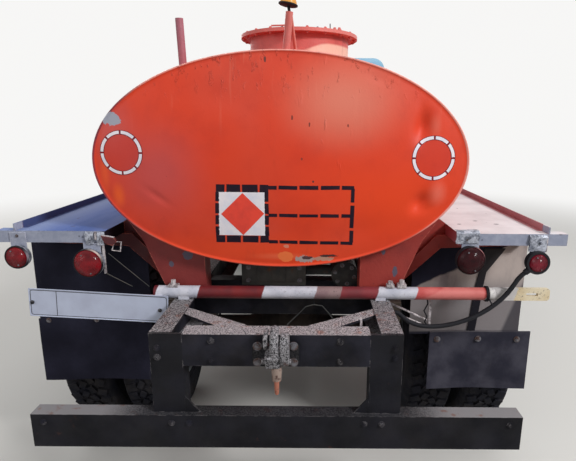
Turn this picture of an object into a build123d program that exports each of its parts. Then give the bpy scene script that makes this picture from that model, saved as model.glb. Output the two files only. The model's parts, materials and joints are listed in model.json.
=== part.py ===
from build123d import *
import os
from math import cos, radians, sin, sqrt

os.makedirs("parts", exist_ok=True)

# Tank lorry with a bonneted cab. Millimetres, +Y towards the cab, +Z up, ground at z = 0,
# origin under the middle of the whole length.

# Axles and wheels
WHEELBASE = 3300
REAR_AXLE_Y = -1470
FRONT_AXLE_Y = REAR_AXLE_Y + WHEELBASE
FRONT_TRACK = 1630
REAR_TRACK = 1690
TWIN_SPACING = 285
TYRE_RADIUS = 470
TYRE_WIDTH = 240
RIM_RADIUS = 254
TYRE_SIDES = 36
AXLE_Z = TYRE_RADIUS
KINGPIN_X = 665
KINGPIN_RADIUS = 15
BALL_RADIUS = 9
SPINDLE_RADIUS = 35
SPINDLE_END_X = 930
HUB_FACE_X = 752
RUNNING_CLEARANCE = 0.05
STEERING_ARM = 170
PINION_Y = REAR_AXLE_Y + 262
GEARBOX_END_Y = 938

# Ladder frame
RAIL_OUTER_X = 425
RAIL_FLANGE = 75
RAIL_WALL = 8
RAIL_TOP_Z = 935
RAIL_REAR_Y = -2562
RAIL_LOWER = [(RAIL_REAR_Y, 815), (-1850, 735), (1450, 735), (2580, 810)]  # y, z of the lower edge
TAIL_Y = -2670
NOSE_Y = 2670

# Tank
TANK_HALF_WIDTH = 694
TANK_HALF_HEIGHT = 397
TANK_CENTRE_Z = 1470
TANK_REAR_Y = -2270
TANK_LENGTH = 2330
TANK_RIM = 28
HEAD_BULGE = 52
NECK_X = 33
NECK_Y = -1070
NECK_RADIUS = 284
NECK_FLANGE_RADIUS = 335
NECK_TOP_Z = 2090
FLANGE_THICK = 10
COVER_THICK = 8
HATCH_RADIUS = 215
HATCH_Y = NECK_Y + 40

# Catwalks
WALK_INNER_X = 680
WALK_OUTER_X = 1030
WALK_ANGLE_END_X = 1100
WALK_REAR_Y = -2250
WALK_FRONT_Y = 20
WALK_TOP_Z = 1206
WALK_DEPTH = 46
WALK_LIP = 27

# Cab
CAB_REAR_Y = 150
CAB_COWL_Y = 1400
CAB_TOE_Y = 1262
CAB_FLOOR_Z = 950
CAB_BELT_Z = 1500
CAB_ROOF_Z = 2155
CAB_WALL = 45
SILL_HALF_WIDTH = 845
BELT_HALF_WIDTH = 865
ROOF_HALF_WIDTH = 700
WINDSCREEN_RAKE = 190
ARCH_RADIUS = 562
ARCH_CROWN_Z = AXLE_Z + ARCH_RADIUS + 18
DOOR_REAR_Y = 335
DOOR_FRONT_Y = 1250
DOOR_GAP = 6
WING_OUTER_X = 968
WING_INNER_X = 470
WING_WALL = 8
HOOD_FRONT_Y = 2470
HOOD_EDGE_Z = 1212
HOOD_HINGE_X = 180
HOOD_HINGE_Y = CAB_COWL_Y + 20
HOOD_HINGE_Z = 1545


def block(x, y, z):
    """Box between the (low, high) pairs of each axis."""
    size = Box(x[1] - x[0], y[1] - y[0], z[1] - z[0])
    return Pos((x[0] + x[1]) / 2, (y[0] + y[1]) / 2, (z[0] + z[1]) / 2) * size


def rod(start, end, radius, bore=0):
    """Round bar or tube from start to end."""
    along = Vector(*end) - Vector(*start)
    section = Circle(radius) - Circle(bore) if bore else Circle(radius)
    return extrude(Plane(origin=start, z_dir=along) * section, along.length)


def side_plate(points, x, corner=0):
    """Outline of (y, z) points, extruded between the two x values."""
    return extrude(Plane.YZ.offset(x[0]) * outline(points, corner), x[1] - x[0])


def cross_plate(points, y, corner=0):
    """Outline of (x, z) points, extruded between the two y values."""
    plane = Plane(origin=(0, y[1], 0), x_dir=(1, 0, 0), z_dir=(0, -1, 0))
    return extrude(plane * outline(points, corner), y[1] - y[0])


def plan_plate(points, z, corner=0):
    """Outline of (x, y) points, extruded between the two z values."""
    return extrude(Plane.XY.offset(z[0]) * outline(points, corner), z[1] - z[0])


def outline(points, corner=0):
    face = make_face(Polyline(*points, close=True))
    return fillet(face.vertices(), corner) if corner else face


def mirrored(shape):
    return mirror(shape, about=Plane.YZ)


def both(shape):
    return [shape, mirrored(shape)]


def save(name, *shapes):
    solids = []
    for shape in shapes:
        for piece in shape if isinstance(shape, list) else [shape]:
            solids += piece.solids()
    export_step(Compound(children=solids), f"parts/{name}.step")


def rail_lower_z(y):
    """Height of the rails' lower edge at y."""
    for (y0, z0), (y1, z1) in zip(RAIL_LOWER, RAIL_LOWER[1:]):
        if y <= y1:
            return z0 + (z1 - z0) * (y - y0) / (y1 - y0)
    return RAIL_LOWER[-1][1]


def tank_ellipse(inset=0):
    return Ellipse(TANK_HALF_WIDTH - inset, TANK_HALF_HEIGHT - inset)


def tank_prism(y, inset=0):
    """The tank's elliptical section between two y values."""
    plane = Plane(origin=(0, y[1], TANK_CENTRE_Z), x_dir=(1, 0, 0), z_dir=(0, -1, 0))
    return extrude(plane * tank_ellipse(inset), y[1] - y[0])


def tank_surface_z(x):
    return TANK_CENTRE_Z + TANK_HALF_HEIGHT * sqrt(1 - (x / TANK_HALF_WIDTH) ** 2)


# Frame

def frame_rail():
    rear, front = RAIL_LOWER[0][0], RAIL_LOWER[-1][0]
    web = side_plate([(rear, RAIL_TOP_Z)] + RAIL_LOWER + [(front, RAIL_TOP_Z)],
                     (RAIL_OUTER_X - RAIL_WALL, RAIL_OUTER_X))
    inner = (RAIL_OUTER_X - RAIL_FLANGE, RAIL_OUTER_X - RAIL_WALL)
    raised = [(y, z + RAIL_WALL) for y, z in reversed(RAIL_LOWER)]
    lower = side_plate(RAIL_LOWER + raised, inner)
    upper = block(inner, (rear, front), (RAIL_TOP_Z - RAIL_WALL, RAIL_TOP_Z))
    return web + lower + upper


def frame_crossmember(y, depth):
    """Channel between the rails' webs, open towards the front."""
    low = max(rail_lower_z(y), rail_lower_z(y + depth)) + RAIL_WALL + 3
    x = RAIL_OUTER_X - RAIL_WALL
    outer = block((-x, x), (y, y + depth), (low, RAIL_TOP_Z - 12))
    pocket = block((-x, x), (y + 6, y + depth), (low + 6, RAIL_TOP_Z - 18))
    return outer - pocket


def rear_crossmember():
    rear, front, half, low = RAIL_REAR_Y - 8, RAIL_REAR_Y + 64, 315, 816
    channel = block((-half, half), (rear, front), (low, RAIL_TOP_Z - 4))
    channel -= block((-half, half), (rear + 8, front), (low + 8, RAIL_TOP_Z - 12))
    rail_edge = RAIL_OUTER_X - RAIL_FLANGE
    brace = plan_plate([(96, front - 8), (205, front - 8), (rail_edge, -2396), (rail_edge, -2336),
                        (115, front + 11)], (RAIL_TOP_Z - 12, RAIL_TOP_Z - 4))
    return channel + both_fused(brace)


def tow_hook():
    """Flange with its socket, the hook between two cheeks, and the tapered peg that hangs from it."""
    face, middle, pin_y = RAIL_REAR_Y - 8, 870, -2622
    flange = block((-78, 78), (face - 14, face), (middle - 44, middle + 44))
    flange = fillet(flange.edges().filter_by(Axis.Y), 12)
    socket = rod((0, face - 34, middle), (0, face - 14, middle), 36)
    hook = side_plate([(-2590, 832), (-2590, 962), (-2634, 958), (-2642, 936), (-2616, 926), (-2612, 884),
                       (-2638, 872), (-2648, 918), (TAIL_Y, 914), (TAIL_Y, 858), (-2652, 832)], (-20, 8), 4)
    right_cheek = side_plate([(-2590, 824), (-2590, 916), (-2634, 916), (-2654, 892), (-2654, 848),
                              (-2634, 824)], (12, 38), 8)
    left_cheek = side_plate([(-2590, 842), (-2590, 900), (-2640, 900), (-2640, 842)], (-38, -23), 8)
    pin = rod((-44, pin_y, 856), (44, pin_y, 856), 10)
    peg = Pos(-4, pin_y, 786.5) * Cone(8, 14, 91)
    return flange + socket + hook + right_cheek + left_cheek + pin + peg


def underrun_bumper():
    rear, front, low, high, half = -2590, -2530, 516, 641, 842
    beam = block((-half, half), (rear, front), (low, high))
    beam -= block((-half, half), (rear + 7, front), (low + 7, high - 7))
    ends = block((half - 7, half), (rear, front), (low, high))
    plate = block((315, 425), (RAIL_REAR_Y - 8, RAIL_REAR_Y), (high, 933))
    flange = block((315, 323), (RAIL_REAR_Y - 8, -2500), (high, 812))
    gusset = cross_plate([(265, high), (315, high), (315, 700)], (-2569, -2563))
    return beam + both_fused(ends + plate + flange + gusset)


def both_fused(shape):
    return shape + mirrored(shape)


def front_bumper():
    low, high = 520, 690
    plan = [(-940, 2560), (-930, 2528), (-905, 2535), (-890, 2625), (-850, 2664), (-800, 2664),
            (800, 2664), (850, 2664), (890, 2625), (905, 2535), (930, 2528), (940, 2560),
            (905, NOSE_Y - 20), (860, NOSE_Y), (-860, NOSE_Y), (-905, NOSE_Y - 20)]
    beam = plan_plate([p for p in plan if p != (-800, 2664) and p != (800, 2664)], (low, high))
    for z in ((low, low + 8), (high - 8, high)):
        beam += plan_plate([(-850, 2640), (850, 2640), (850, 2664), (-850, 2664)], z)
    bracket = side_plate([(2582, 640), (2640, 640), (2664, 655), (2664, 680), (2640, 688),
                          (2600, 925), (2582, 925)], (368, 416))
    return beam + both_fused(bracket)


# Axles, springs and driveline

def front_axle_beam():
    end, bend, web_end = KINGPIN_X - 20, KINGPIN_X - 80, KINGPIN_X - 90
    upper = [(-end, 506), (-bend, 480), (-470, 432), (470, 432), (bend, 480), (end, 506)]
    lower = [(end, 438), (bend, 405), (470, 358), (-470, 358), (-bend, 405), (-end, 438)]
    y = (FRONT_AXLE_Y - 36, FRONT_AXLE_Y + 36)
    beam = cross_plate(upper + lower, y)
    pocket = [(-web_end, 455), (-460, 416), (460, 416), (web_end, 455), (web_end, 425), (460, 374),
              (-460, 374), (-web_end, 425)]
    for side in ((y[0], y[0] + 24), (y[1] - 24, y[1])):
        beam -= cross_plate(pocket, side)
    eye = rod((KINGPIN_X, FRONT_AXLE_Y, AXLE_Z - 42), (KINGPIN_X, FRONT_AXLE_Y, AXLE_Z + 42), 40)
    pin = rod((KINGPIN_X, FRONT_AXLE_Y, AXLE_Z - 88), (KINGPIN_X, FRONT_AXLE_Y, AXLE_Z + 88),
              KINGPIN_RADIUS)
    return beam + both_fused(eye + pin)


def rear_axle():
    """Banjo housing turned about the axle, with spindles for the hubs and a pinion nose."""
    profile = Polyline((0, 0), (0, 172), (60, 168), (115, 140), (165, 92), (240, 66), (560, 62),
                       (560, 100), (575, 100), (575, 48), (600, 48), (600, SPINDLE_RADIUS),
                       (1000, SPINDLE_RADIUS), (1000, 0), close=True)
    half = revolve(make_face(profile), Axis.X)
    housing = Pos(0, REAR_AXLE_Y, AXLE_Z) * both_fused(half)
    nose = rod((0, REAR_AXLE_Y + 120, AXLE_Z + 12), (0, PINION_Y, AXLE_Z + 12), 78)
    pad = block((432, 508), (REAR_AXLE_Y - 55, REAR_AXLE_Y + 55), (AXLE_Z + 50, AXLE_Z + 76))
    return housing + nose + both_fused(pad)


def leaf_pack(half_span, sag, leaves, thickness, width):
    """Stepped leaves bent to concentric arcs, with their seat at z = 0 and rolled eyes."""
    top = half_span ** 2 / (2 * sag) + sag / 2
    pack = None
    for number in range(leaves):
        inner = top + number * thickness
        outer = inner + thickness
        centre = top + leaves * thickness
        reach = half_span * (1 - 0.82 * number / leaves) / top
        corners = [(r * sin(a), centre - r * cos(a))
                   for r, a in ((inner, -reach), (inner, reach), (outer, reach), (outer, -reach))]
        arcs = [ThreePointArc(corners[0], (0, centre - inner), corners[1]),
                Line(corners[1], corners[2]),
                ThreePointArc(corners[2], (0, centre - outer), corners[3]),
                Line(corners[3], corners[0])]
        leaf = extrude(Plane.YZ.offset(-width / 2) * make_face(arcs), width)
        pack = leaf if pack is None else pack + leaf
    eye_angle = half_span / top
    eye_y = (top - 4) * sin(eye_angle)
    eye_z = top + leaves * thickness - (top - 4) * cos(eye_angle) + 10
    for y in (-eye_y, eye_y):
        pack += rod((-width / 2, y, eye_z), (width / 2, y, eye_z), 20)
    return pack, eye_y, eye_z


def front_spring():
    pack, eye_y, eye_z = leaf_pack(560, 138, 7, 9, 64)
    seat_z = 432
    x = 385
    spring = Pos(x, FRONT_AXLE_Y, seat_z) * pack
    for y in (FRONT_AXLE_Y - eye_y, FRONT_AXLE_Y + eye_y):
        z = seat_z + eye_z
        cheek = side_plate([(y - 26, z - 24), (y + 26, z - 24), (y + 44, rail_lower_z(y + 44)),
                            (y - 44, rail_lower_z(y - 44))], (x + 32, x + 40))
        spring += cheek + Pos(-72, 0, 0) * cheek
    return spring


def rear_spring():
    pack, eye_y, eye_z = leaf_pack(600, 122, 9, 11, 75)
    seat_z = AXLE_Z + 76
    x = 470
    spring = Pos(x, REAR_AXLE_Y, seat_z) * pack
    for y in (REAR_AXLE_Y - eye_y, REAR_AXLE_Y + eye_y):
        z = seat_z + eye_z
        hanger = side_plate([(y - 30, z + 14), (y + 30, z + 14), (y + 62, 872), (y - 62, 872)],
                            (RAIL_OUTER_X, x + 30), 6)
        spring += hanger
    return spring


def driveshaft():
    """Two tubes with a centre bearing hung under a crossmember, and joint flanges at the ends."""
    gearbox, bearing, pinion = (0, GEARBOX_END_Y, 700), (0, -120, 655), (0, PINION_Y, AXLE_Z + 12)
    tubes = rod(bearing, gearbox, 38) + rod(pinion, bearing, 38)
    tubes &= block((-100, 100), (PINION_Y, GEARBOX_END_Y), (300, 900))
    flanges = rod((0, GEARBOX_END_Y - 20, 700), gearbox, 62)
    flanges += rod(pinion, (0, PINION_Y + 20, AXLE_Z + 12), 62)
    housing = rod((0, -150, 655), (0, -90, 655), 70)
    hanger = block((-45, 45), (-150, -144), (700, rail_lower_z(-150) + RAIL_WALL + 3))
    return tubes + flanges + housing + hanger


def engine_block():
    block_body = block((-250, 250), (1470, 2210), (640, 1190))
    bell = rod((0, 1350, 790), (0, 1470, 790), 190)
    gearbox = block((-150, 150), (950, 1360), (610, 905))
    output = rod((0, GEARBOX_END_Y, 700), (0, 950, 700), 62)
    manifold = block((250, 316), (1480, 1900), (900, 980))
    return chamfer(block_body.edges(), 18) + bell + gearbox + output + manifold


def radiator():
    core = block((-290, 290), (2310, 2372), (850, 1150))
    tanks = block((-300, 300), (2300, 2382), (1150, 1186)) + block((-300, 300), (2300, 2382), (818, 850))
    feet = block((-417, 417), (2330, 2350), (822, 842))
    return core + tanks + feet


def exhaust():
    """Downpipe, silencer and tailpipe on one route under the right rail."""
    route = FilletPolyline((284, 1520, 900), (284, 1520, 650), (300, 1150, 640), (585, 850, 620),
                           (585, -560, 620), (900, -700, 600), radius=70)
    pipe = sweep(Plane(origin=route @ 0, z_dir=route % 0) * Circle(27), path=route)
    silencer = Pos(585, 30, 620) * Rot(90, 0, 0) * Cylinder(84, 520)
    silencer = fillet(silencer.edges(), 14)
    strap = block((RAIL_OUTER_X, 600), (-10, 20), (700, 712))
    strap += block((RAIL_OUTER_X, 433), (-10, 20), (700, 800))
    return pipe + silencer + strap


def fuel_tank():
    x, y, z = (-850, -480), (-700, -120), (520, 850)
    body = block(x, y, z)
    body = fillet(body.edges().filter_by(Axis.Y), 50)
    for station in (-600, -220):
        body += block((-480, -RAIL_OUTER_X), (station - 30, station + 30), (760, 860))
    return body


# Tank and what stands on it

def dome(base_radius, height):
    """Spherical cap that stands on z = 0."""
    radius = (base_radius ** 2 + height ** 2) / (2 * height)
    ball = Pos(0, 0, height - radius) * Sphere(radius)
    reach = (-2 * base_radius, 2 * base_radius)
    return ball & block(reach, reach, (0, 2 * height))


def domed_head(y, outward):
    """Shallow cap whose rim is the tank's inset ellipse; outward is -1 at the rear."""
    a, b = TANK_HALF_WIDTH - TANK_RIM, TANK_HALF_HEIGHT - TANK_RIM
    cap = scale(dome(b, HEAD_BULGE), by=(a / b, 1, 1))
    turn = Rot(90, 0, 0) if outward < 0 else Rot(-90, 0, 0)
    return Pos(0, y, TANK_CENTRE_Z) * turn * cap


def tank_shell():
    front_y = TANK_REAR_Y + TANK_LENGTH
    shell = tank_prism((TANK_REAR_Y, front_y))
    for y, inward in ((TANK_REAR_Y, 1), (front_y, -1)):
        recess = (y, y + 18) if inward > 0 else (y - 18, y)
        shell -= tank_prism(recess, TANK_RIM / 2)
        shell += domed_head(y + 18 * inward, -inward)
    return shell


def tank_cradles():
    """A saddle leg over each rail at three stations, its top shaped to the tank."""
    legs = []
    for y, depth in ((-2215, 96), (-1148, 90), (-85, 90)):
        leg = cross_plate([(308, RAIL_TOP_Z), (308, 1130), (540, 1330), (600, 1240), (548, 1165),
                           (462, RAIL_TOP_Z + 20), (462, RAIL_TOP_Z)], (y, y + depth))
        leg -= cross_plate([(320, 960), (320, 1200), (600, 1300), (540, 1170), (452, 960)],
                           (y + 10, y + depth))
        leg -= tank_prism((y - 5, y + depth + 5))
        legs += both(leg)
    return legs


def manhole_neck():
    """Neck, flange and bolted cover with the filling hole, standing on the tank's top."""
    bottom_z, bore = TANK_CENTRE_Z + 0.6 * TANK_HALF_HEIGHT, NECK_RADIUS - 8
    cover_top = NECK_TOP_Z + COVER_THICK
    seat_top = cover_top + 16
    neck = rod((0, NECK_Y, bottom_z), (0, NECK_Y, NECK_TOP_Z), NECK_RADIUS, bore)
    flange = rod((0, NECK_Y, NECK_TOP_Z - FLANGE_THICK), (0, NECK_Y, NECK_TOP_Z), NECK_FLANGE_RADIUS, bore)
    cover = rod((0, NECK_Y, NECK_TOP_Z), (0, NECK_Y, cover_top), NECK_FLANGE_RADIUS)
    seat = rod((0, HATCH_Y, cover_top), (0, HATCH_Y, seat_top), HATCH_RADIUS - 15)
    hole = rod((0, HATCH_Y, NECK_TOP_Z - 5), (0, HATCH_Y, seat_top + 5), HATCH_RADIUS - 27)
    pin_y, pin_z = HATCH_Y + 240, seat_top + 8
    lug = block((24, 42), (pin_y - 16, pin_y + 16), (cover_top, pin_z + 12))
    lug = both_fused(lug) + rod((-48, pin_y, pin_z), (48, pin_y, pin_z), 7)
    whole = Pos(NECK_X, 0, 0) * (neck + flange + cover + seat - hole + lug)
    return whole - tank_prism((NECK_Y - 400, NECK_Y + 400))


def hatch_lid():
    """Dished lid with a hinge arm that turns on the cover's pin."""
    seat_top = NECK_TOP_Z + COVER_THICK + 16
    lid = rod((0, HATCH_Y, seat_top + 1), (0, HATCH_Y, seat_top + 12), HATCH_RADIUS)
    lid += Pos(0, HATCH_Y, seat_top + 12) * dome(HATCH_RADIUS - 4, 22)
    pin_y, pin_z = HATCH_Y + 240, seat_top + 8
    arm = block((-23, 23), (HATCH_Y + 170, pin_y), (seat_top + 1, seat_top + 15))
    arm += rod((-23, pin_y, pin_z), (23, pin_y, pin_z), 14)
    arm -= rod((-60, pin_y, pin_z), (60, pin_y, pin_z), 7 + RUNNING_CLEARANCE)
    return Pos(NECK_X, 0, 0) * (lid + arm)


def discharge_pipe():
    """Sump under the tank, the pipe to the valve box at the rear, and the pump beside it."""
    sump = rod((0, -1640, 1000), (0, -1640, 1130), 110)
    sump -= tank_prism((-1800, -1500))
    box = block((-178, 90), (-2120, -1960), (948, 1045))
    pump = rod((255, -2108, 992), (255, -1970, 992), 56) + rod((60, -2040, 992), (255, -2040, 992), 22)
    route = FilletPolyline((0, -1640, 1000), (0, -1640, 895), (0, -1800, 895), (0, -1800, 995),
                           (0, -1965, 995), radius=38)
    pipe = sweep(Plane(origin=route @ 0, z_dir=route % 0) * Circle(32), path=route)
    wheel = rod((0, -2040, 1045), (0, -2040, 1056), 12)
    return sump + pipe + box + wheel + pump


POST_FOOT = (20, -2240, 1859)
POST_TOP = (33, -2240, 1992)


def tank_post():
    """Stanchion on the rear rim with its diagonal brace."""
    post = rod(POST_FOOT, POST_TOP, 13)
    brace = rod((38, -2235, 1975), (52, -2120, POST_FOOT[2]), 7)
    return post + brace - tank_prism((-2400, -2000))


def marker_lamp():
    """Amber lamp on a thin stem in line with the stanchion; its base leans."""
    slope = (POST_TOP[0] - POST_FOOT[0]) / (POST_TOP[2] - POST_FOOT[2])
    stem_end = (POST_TOP[0] + 22 * slope, POST_TOP[1], POST_TOP[2] + 22)
    base = Cylinder(34, 7, align=(Align.CENTER, Align.CENTER, Align.MIN))
    lamp = base + Pos(0, 0, 7) * dome(31, 26)
    return rod(POST_TOP, stem_end, 5) + Pos(28, POST_TOP[1], stem_end[2] - 2) * Rot(0, -9, 0) * lamp


def breather_pipe():
    x, y = -392, -2080
    return rod((x + 4, y, tank_surface_z(x) - 12), (x - 3, y, 2000), 15) - tank_prism((y - 60, y + 60))


# Catwalks, flaps and tail

def catwalk():
    """Deck plate with down-turned edges and an outer lip, and the rear angle that carries the lamps."""
    x = (WALK_INNER_X, WALK_OUTER_X)
    y = (WALK_REAR_Y, WALK_FRONT_Y)
    z = (WALK_TOP_Z - WALK_DEPTH, WALK_TOP_Z)
    deck = block(x, y, z)
    deck -= block((x[0] + 5, x[1] - 5), (y[0] + 5, y[1] - 5), (z[0], z[1] - 5))
    deck += block((x[1], WALK_ANGLE_END_X), (y[0], y[0] + 5), z)
    deck += block((x[1], WALK_ANGLE_END_X), (y[0], y[0] + 50), (z[1] - 5, z[1]))
    deck += block((x[1] - 5, x[1]), y, (z[1] - 5, z[1] + WALK_LIP))
    return deck


def catwalk_brackets():
    """Triangular outriggers from the rails' webs."""
    arms = []
    top = WALK_TOP_Z - WALK_DEPTH
    for y in (-2085, -920, -150):
        arm = cross_plate([(RAIL_OUTER_X, 880), (RAIL_OUTER_X, 932), (640, top), (WALK_OUTER_X, top),
                           (WALK_OUTER_X, top - 40), (660, top - 55)], (y, y + 50))
        arm -= tank_prism((y - 5, y + 60))
        arms += both(arm)
    return arms


def mud_flaps():
    """Left sheet in two lapped parts; right upper sheet, lower flap and slanting strap."""
    y = -2035
    left = block((-1100, -600), (y, y + 6), (742, 1150)) + block((-1104, -602), (y - 5, y), (454, 756))
    right = block((556, 1050), (y, y + 6), (694, 1150)) + block((648, 1104), (y - 7, y), (422, 706))
    strap = cross_plate([(830, 700), (868, 700), (985, 1090), (950, 1090)], (y - 4, y))
    return [left, right + strap]


def striped_bar():
    """Tube across the rails with saddles, a flattened end and the plate's carrier strip."""
    y, z, radius = -2242, RAIL_TOP_Z + 25, 25
    tube = rod((-505, y, z), (838, y, z), radius)
    end = block((830, 1058), (y - 8, y + 8), (z - 25, z + 25))
    end = fillet(end.edges().filter_by(Axis.Y), 12)
    end -= block((965, 1012), (y - 9, y + 9), (z - 6, z + 6))
    for x in (-388, 388):
        tube += block((x - 20, x + 20), (y - 22, y + 24), (RAIL_TOP_Z, z))
    strip = block((-980, -470), (y - 30, y - 24), (z - 34, z - 4))
    return tube + end + strip


def number_plate():
    plate = block((-271, 271), (-1, 1), (-56, 56))
    plate = fillet(plate.edges().filter_by(Axis.Y), 8)
    return Pos(-719, -2273, 911) * Rot(0, 2.9, 0) * plate


# Tail lamps: x, z, lens radius, housing radius
TAIL_LAMPS = [(-1022, 1108, 40, 47), (-752, 1086, 48, 58), (727, 1107, 48, 57), (988, 1099, 40, 47)]
LAMP_DEPTH = 34
BRACKET_PLATE = 4
# Plates on the catwalks' rear edge: x of the left side and of the right side, z of the lower end
LAMP_PLATES = [(-1050, -994, 1080), (-782, -724, 1060), (-700, -684, 1033), (700, 755, 1080),
               (968, 1012, 1080)]
GLAND_LENGTH = 24
GLAND_RADIUS = 13


def tail_lamps():
    """Round housings with domed lenses; the last has the gland that the cable comes out of."""
    lamps = []
    for x, z, lens, housing in TAIL_LAMPS:
        base = WALK_REAR_Y - BRACKET_PLATE
        body = rod((x, base, z), (x, base - LAMP_DEPTH, z), housing)
        lens_dome = Pos(x, base - LAMP_DEPTH, z) * Rot(90, 0, 0) * dome(lens, lens * 0.4)
        lamps.append(fillet(body.edges().group_by(Axis.Y)[0], 6) + lens_dome)
    cable_end, beyond = (Vector(*point) for point in LAMP_CABLE_ROUTE[:2])
    root = cable_end + (cable_end - beyond).normalized() * GLAND_LENGTH
    lamps[-1] += rod(root, cable_end, GLAND_RADIUS)
    return lamps


def lamp_brackets():
    plates = []
    for left, right, low in LAMP_PLATES:
        plate = block((left, right), (WALK_REAR_Y - BRACKET_PLATE, WALK_REAR_Y), (low, WALK_TOP_Z - 8))
        plates.append(fillet(plate.edges().filter_by(Axis.Y), 5))
    return plates


LAMP_CABLE_RADIUS = 9
LAMP_CABLE_ROUTE = [(940, -2271, 1057.4), (920, -2271, 1040), (898, -2271, 998), (870, -2271, 958),
                    (832, -2272, 922), (786, -2274, 890), (732, -2276, 863), (672, -2278, 844),
                    (610, -2280, 835), (552, -2283, 838), (504, -2286, 854), (472, -2289, 880),
                    (452, -2290, 900), (RAIL_OUTER_X, -2290, 900)]


def fillet_radii(route, share=0.45):
    """Arc radius at each corner, as large as its two runs allow."""
    radii = []
    points = [Vector(*p) for p in route]
    for before, corner, after in zip(points, points[1:], points[2:]):
        turn = radians((corner - before).get_angle(after - corner))
        run = min((corner - before).length, (after - corner).length)
        radii.append(share * run / (sin(turn / 2) / cos(turn / 2)))
    return radii


def lamp_cable():
    radii = fillet_radii(LAMP_CABLE_ROUTE)
    route = FilletPolyline(*LAMP_CABLE_ROUTE, radius=radii)
    tube = sweep(Plane(origin=route @ 0, z_dir=route % 0) * Circle(LAMP_CABLE_RADIUS), path=route)
    print("lamp cable radii", [round(r) for r in radii], "length", round(route.length),
          "volume ratio", round(tube.volume / (3.14159 * LAMP_CABLE_RADIUS ** 2 * route.length), 4))
    return tube


# Cab

def rounded_section(half_width, y, z, corner):
    plane = Plane(origin=(0, (y[0] + y[1]) / 2, z))
    return plane * RectangleRounded(2 * half_width, y[1] - y[0], corner)


def cab_form(inset):
    """Outer form of the cab, drawn in by inset on every side."""
    rear, cowl = CAB_REAR_Y + inset, CAB_COWL_Y - inset
    low, high = CAB_FLOOR_Z + min(inset, 30), CAB_ROOF_Z - inset
    corner = 105 - inset
    lower = loft([rounded_section(SILL_HALF_WIDTH - inset, (rear, cowl), low, corner),
                  rounded_section(BELT_HALF_WIDTH - inset, (rear, cowl), CAB_BELT_Z, corner)], ruled=True)
    upper = loft([rounded_section(BELT_HALF_WIDTH - inset, (rear, cowl), CAB_BELT_Z, corner),
                  rounded_section(ROOF_HALF_WIDTH - inset, (rear + 25, cowl - WINDSCREEN_RAKE), high,
                                  corner)], ruled=True)
    upper = fillet(upper.faces().sort_by(Axis.Z)[-1].edges(), corner * 0.9)
    notch = block((-1000, 1000), (CAB_TOE_Y - inset, 1500), (CAB_FLOOR_Z - 60, ARCH_CROWN_Z + inset))
    return lower + upper - notch


DOOR_OUTLINE = [(DOOR_REAR_Y, 1000), (DOOR_FRONT_Y, 1000), (DOOR_FRONT_Y, 1530), (1130, 2050),
                (DOOR_REAR_Y, 2050)]
DOOR_WINDOW = [(DOOR_REAR_Y + 75, 1560), (1158, 1560), (1062, 1985), (DOOR_REAR_Y + 75, 1985)]


def grown(points, gap):
    """Outline moved outwards by gap, for the opening around a panel."""
    return offset(make_face(Polyline(*points, close=True)), gap, kind=Kind.INTERSECTION)


def door_cut(gap=0, corner=38):
    face = grown(DOOR_OUTLINE, gap) if gap else outline(DOOR_OUTLINE)
    face = fillet(face.vertices(), corner + gap)
    return extrude(Plane.YZ.offset(600) * face, 400)


def door_window_cut():
    return side_plate(DOOR_WINDOW, (550, 1000), 45)


def windscreen_cut():
    return cross_plate([(-600, 1565), (600, 1565), (545, 2030), (-545, 2030)], (1000, 1500), 70)


def rear_window_cut():
    return cross_plate([(-400, 1620), (400, 1620), (400, 1930), (-400, 1930)], (0, 350), 60)


# Panels of the shell, parted at the drip rail, the sills and inside the door openings:
# node, y range, z range
SILL_TOP_Z = 994
DRIP_RAIL_Z = 2056
CAB_PANELS = [("cab_floor", (0, 1700), (900, SILL_TOP_Z)),
              ("cab_back", (0, 700), (SILL_TOP_Z, DRIP_RAIL_Z)),
              ("cab_front", (700, 1700), (SILL_TOP_Z, DRIP_RAIL_Z)),
              ("cab_roof", (0, 1700), (DRIP_RAIL_Z, 2400))]

HINGE_X = BELT_HALF_WIDTH + 14
HINGE_Y = DOOR_FRONT_Y + 3
HINGE_HEIGHTS = (1090, 1410)
HINGE_PIN_RADIUS = 6


def cab_shell(outer, inner):
    """Pressed shell with the door, windscreen and rear window openings and its four feet."""
    shell = outer - inner
    opening = door_cut(DOOR_GAP)
    shell -= opening + mirrored(opening)
    shell -= windscreen_cut() + rear_window_cut()
    for y in (280, 1170):
        for side in (-1, 1):
            shell += block(sorted((side * 352, side * 423)), (y, y + 80), (RAIL_TOP_Z, CAB_FLOOR_Z))
    hinge = None
    for z in HINGE_HEIGHTS:
        leaf = block((BELT_HALF_WIDTH - 22, HINGE_X), (HINGE_Y + 4, HINGE_Y + 15), (z, z + 32))
        leaf += rod((HINGE_X, HINGE_Y, z), (HINGE_X, HINGE_Y, z + 32), 11)
        leaf += rod((HINGE_X, HINGE_Y, z - 34), (HINGE_X, HINGE_Y, z), HINGE_PIN_RADIUS)
        hinge = leaf if hinge is None else hinge + leaf
    hinge -= opening
    return shell + both_fused(hinge - inner)


def door(outer, inner):
    panel = (outer - inner) & door_cut()
    panel -= door_window_cut()
    for z in HINGE_HEIGHTS:
        barrel = rod((HINGE_X, HINGE_Y, z - 33), (HINGE_X, HINGE_Y, z - 1), 11)
        barrel += block((BELT_HALF_WIDTH - 26, HINGE_X), (HINGE_Y - 60, HINGE_Y - 5), (z - 33, z - 1))
        barrel += block((HINGE_X - 6, HINGE_X + 6), (HINGE_Y - 60, HINGE_Y - 5), (z - 33, z - 1))
        barrel -= rod((HINGE_X, HINGE_Y, z - 60), (HINGE_X, HINGE_Y, z + 20),
                      HINGE_PIN_RADIUS + RUNNING_CLEARANCE)
        panel += barrel - inner
    return panel


def glass(pane_layer, cut):
    return pane_layer & cut


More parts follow.
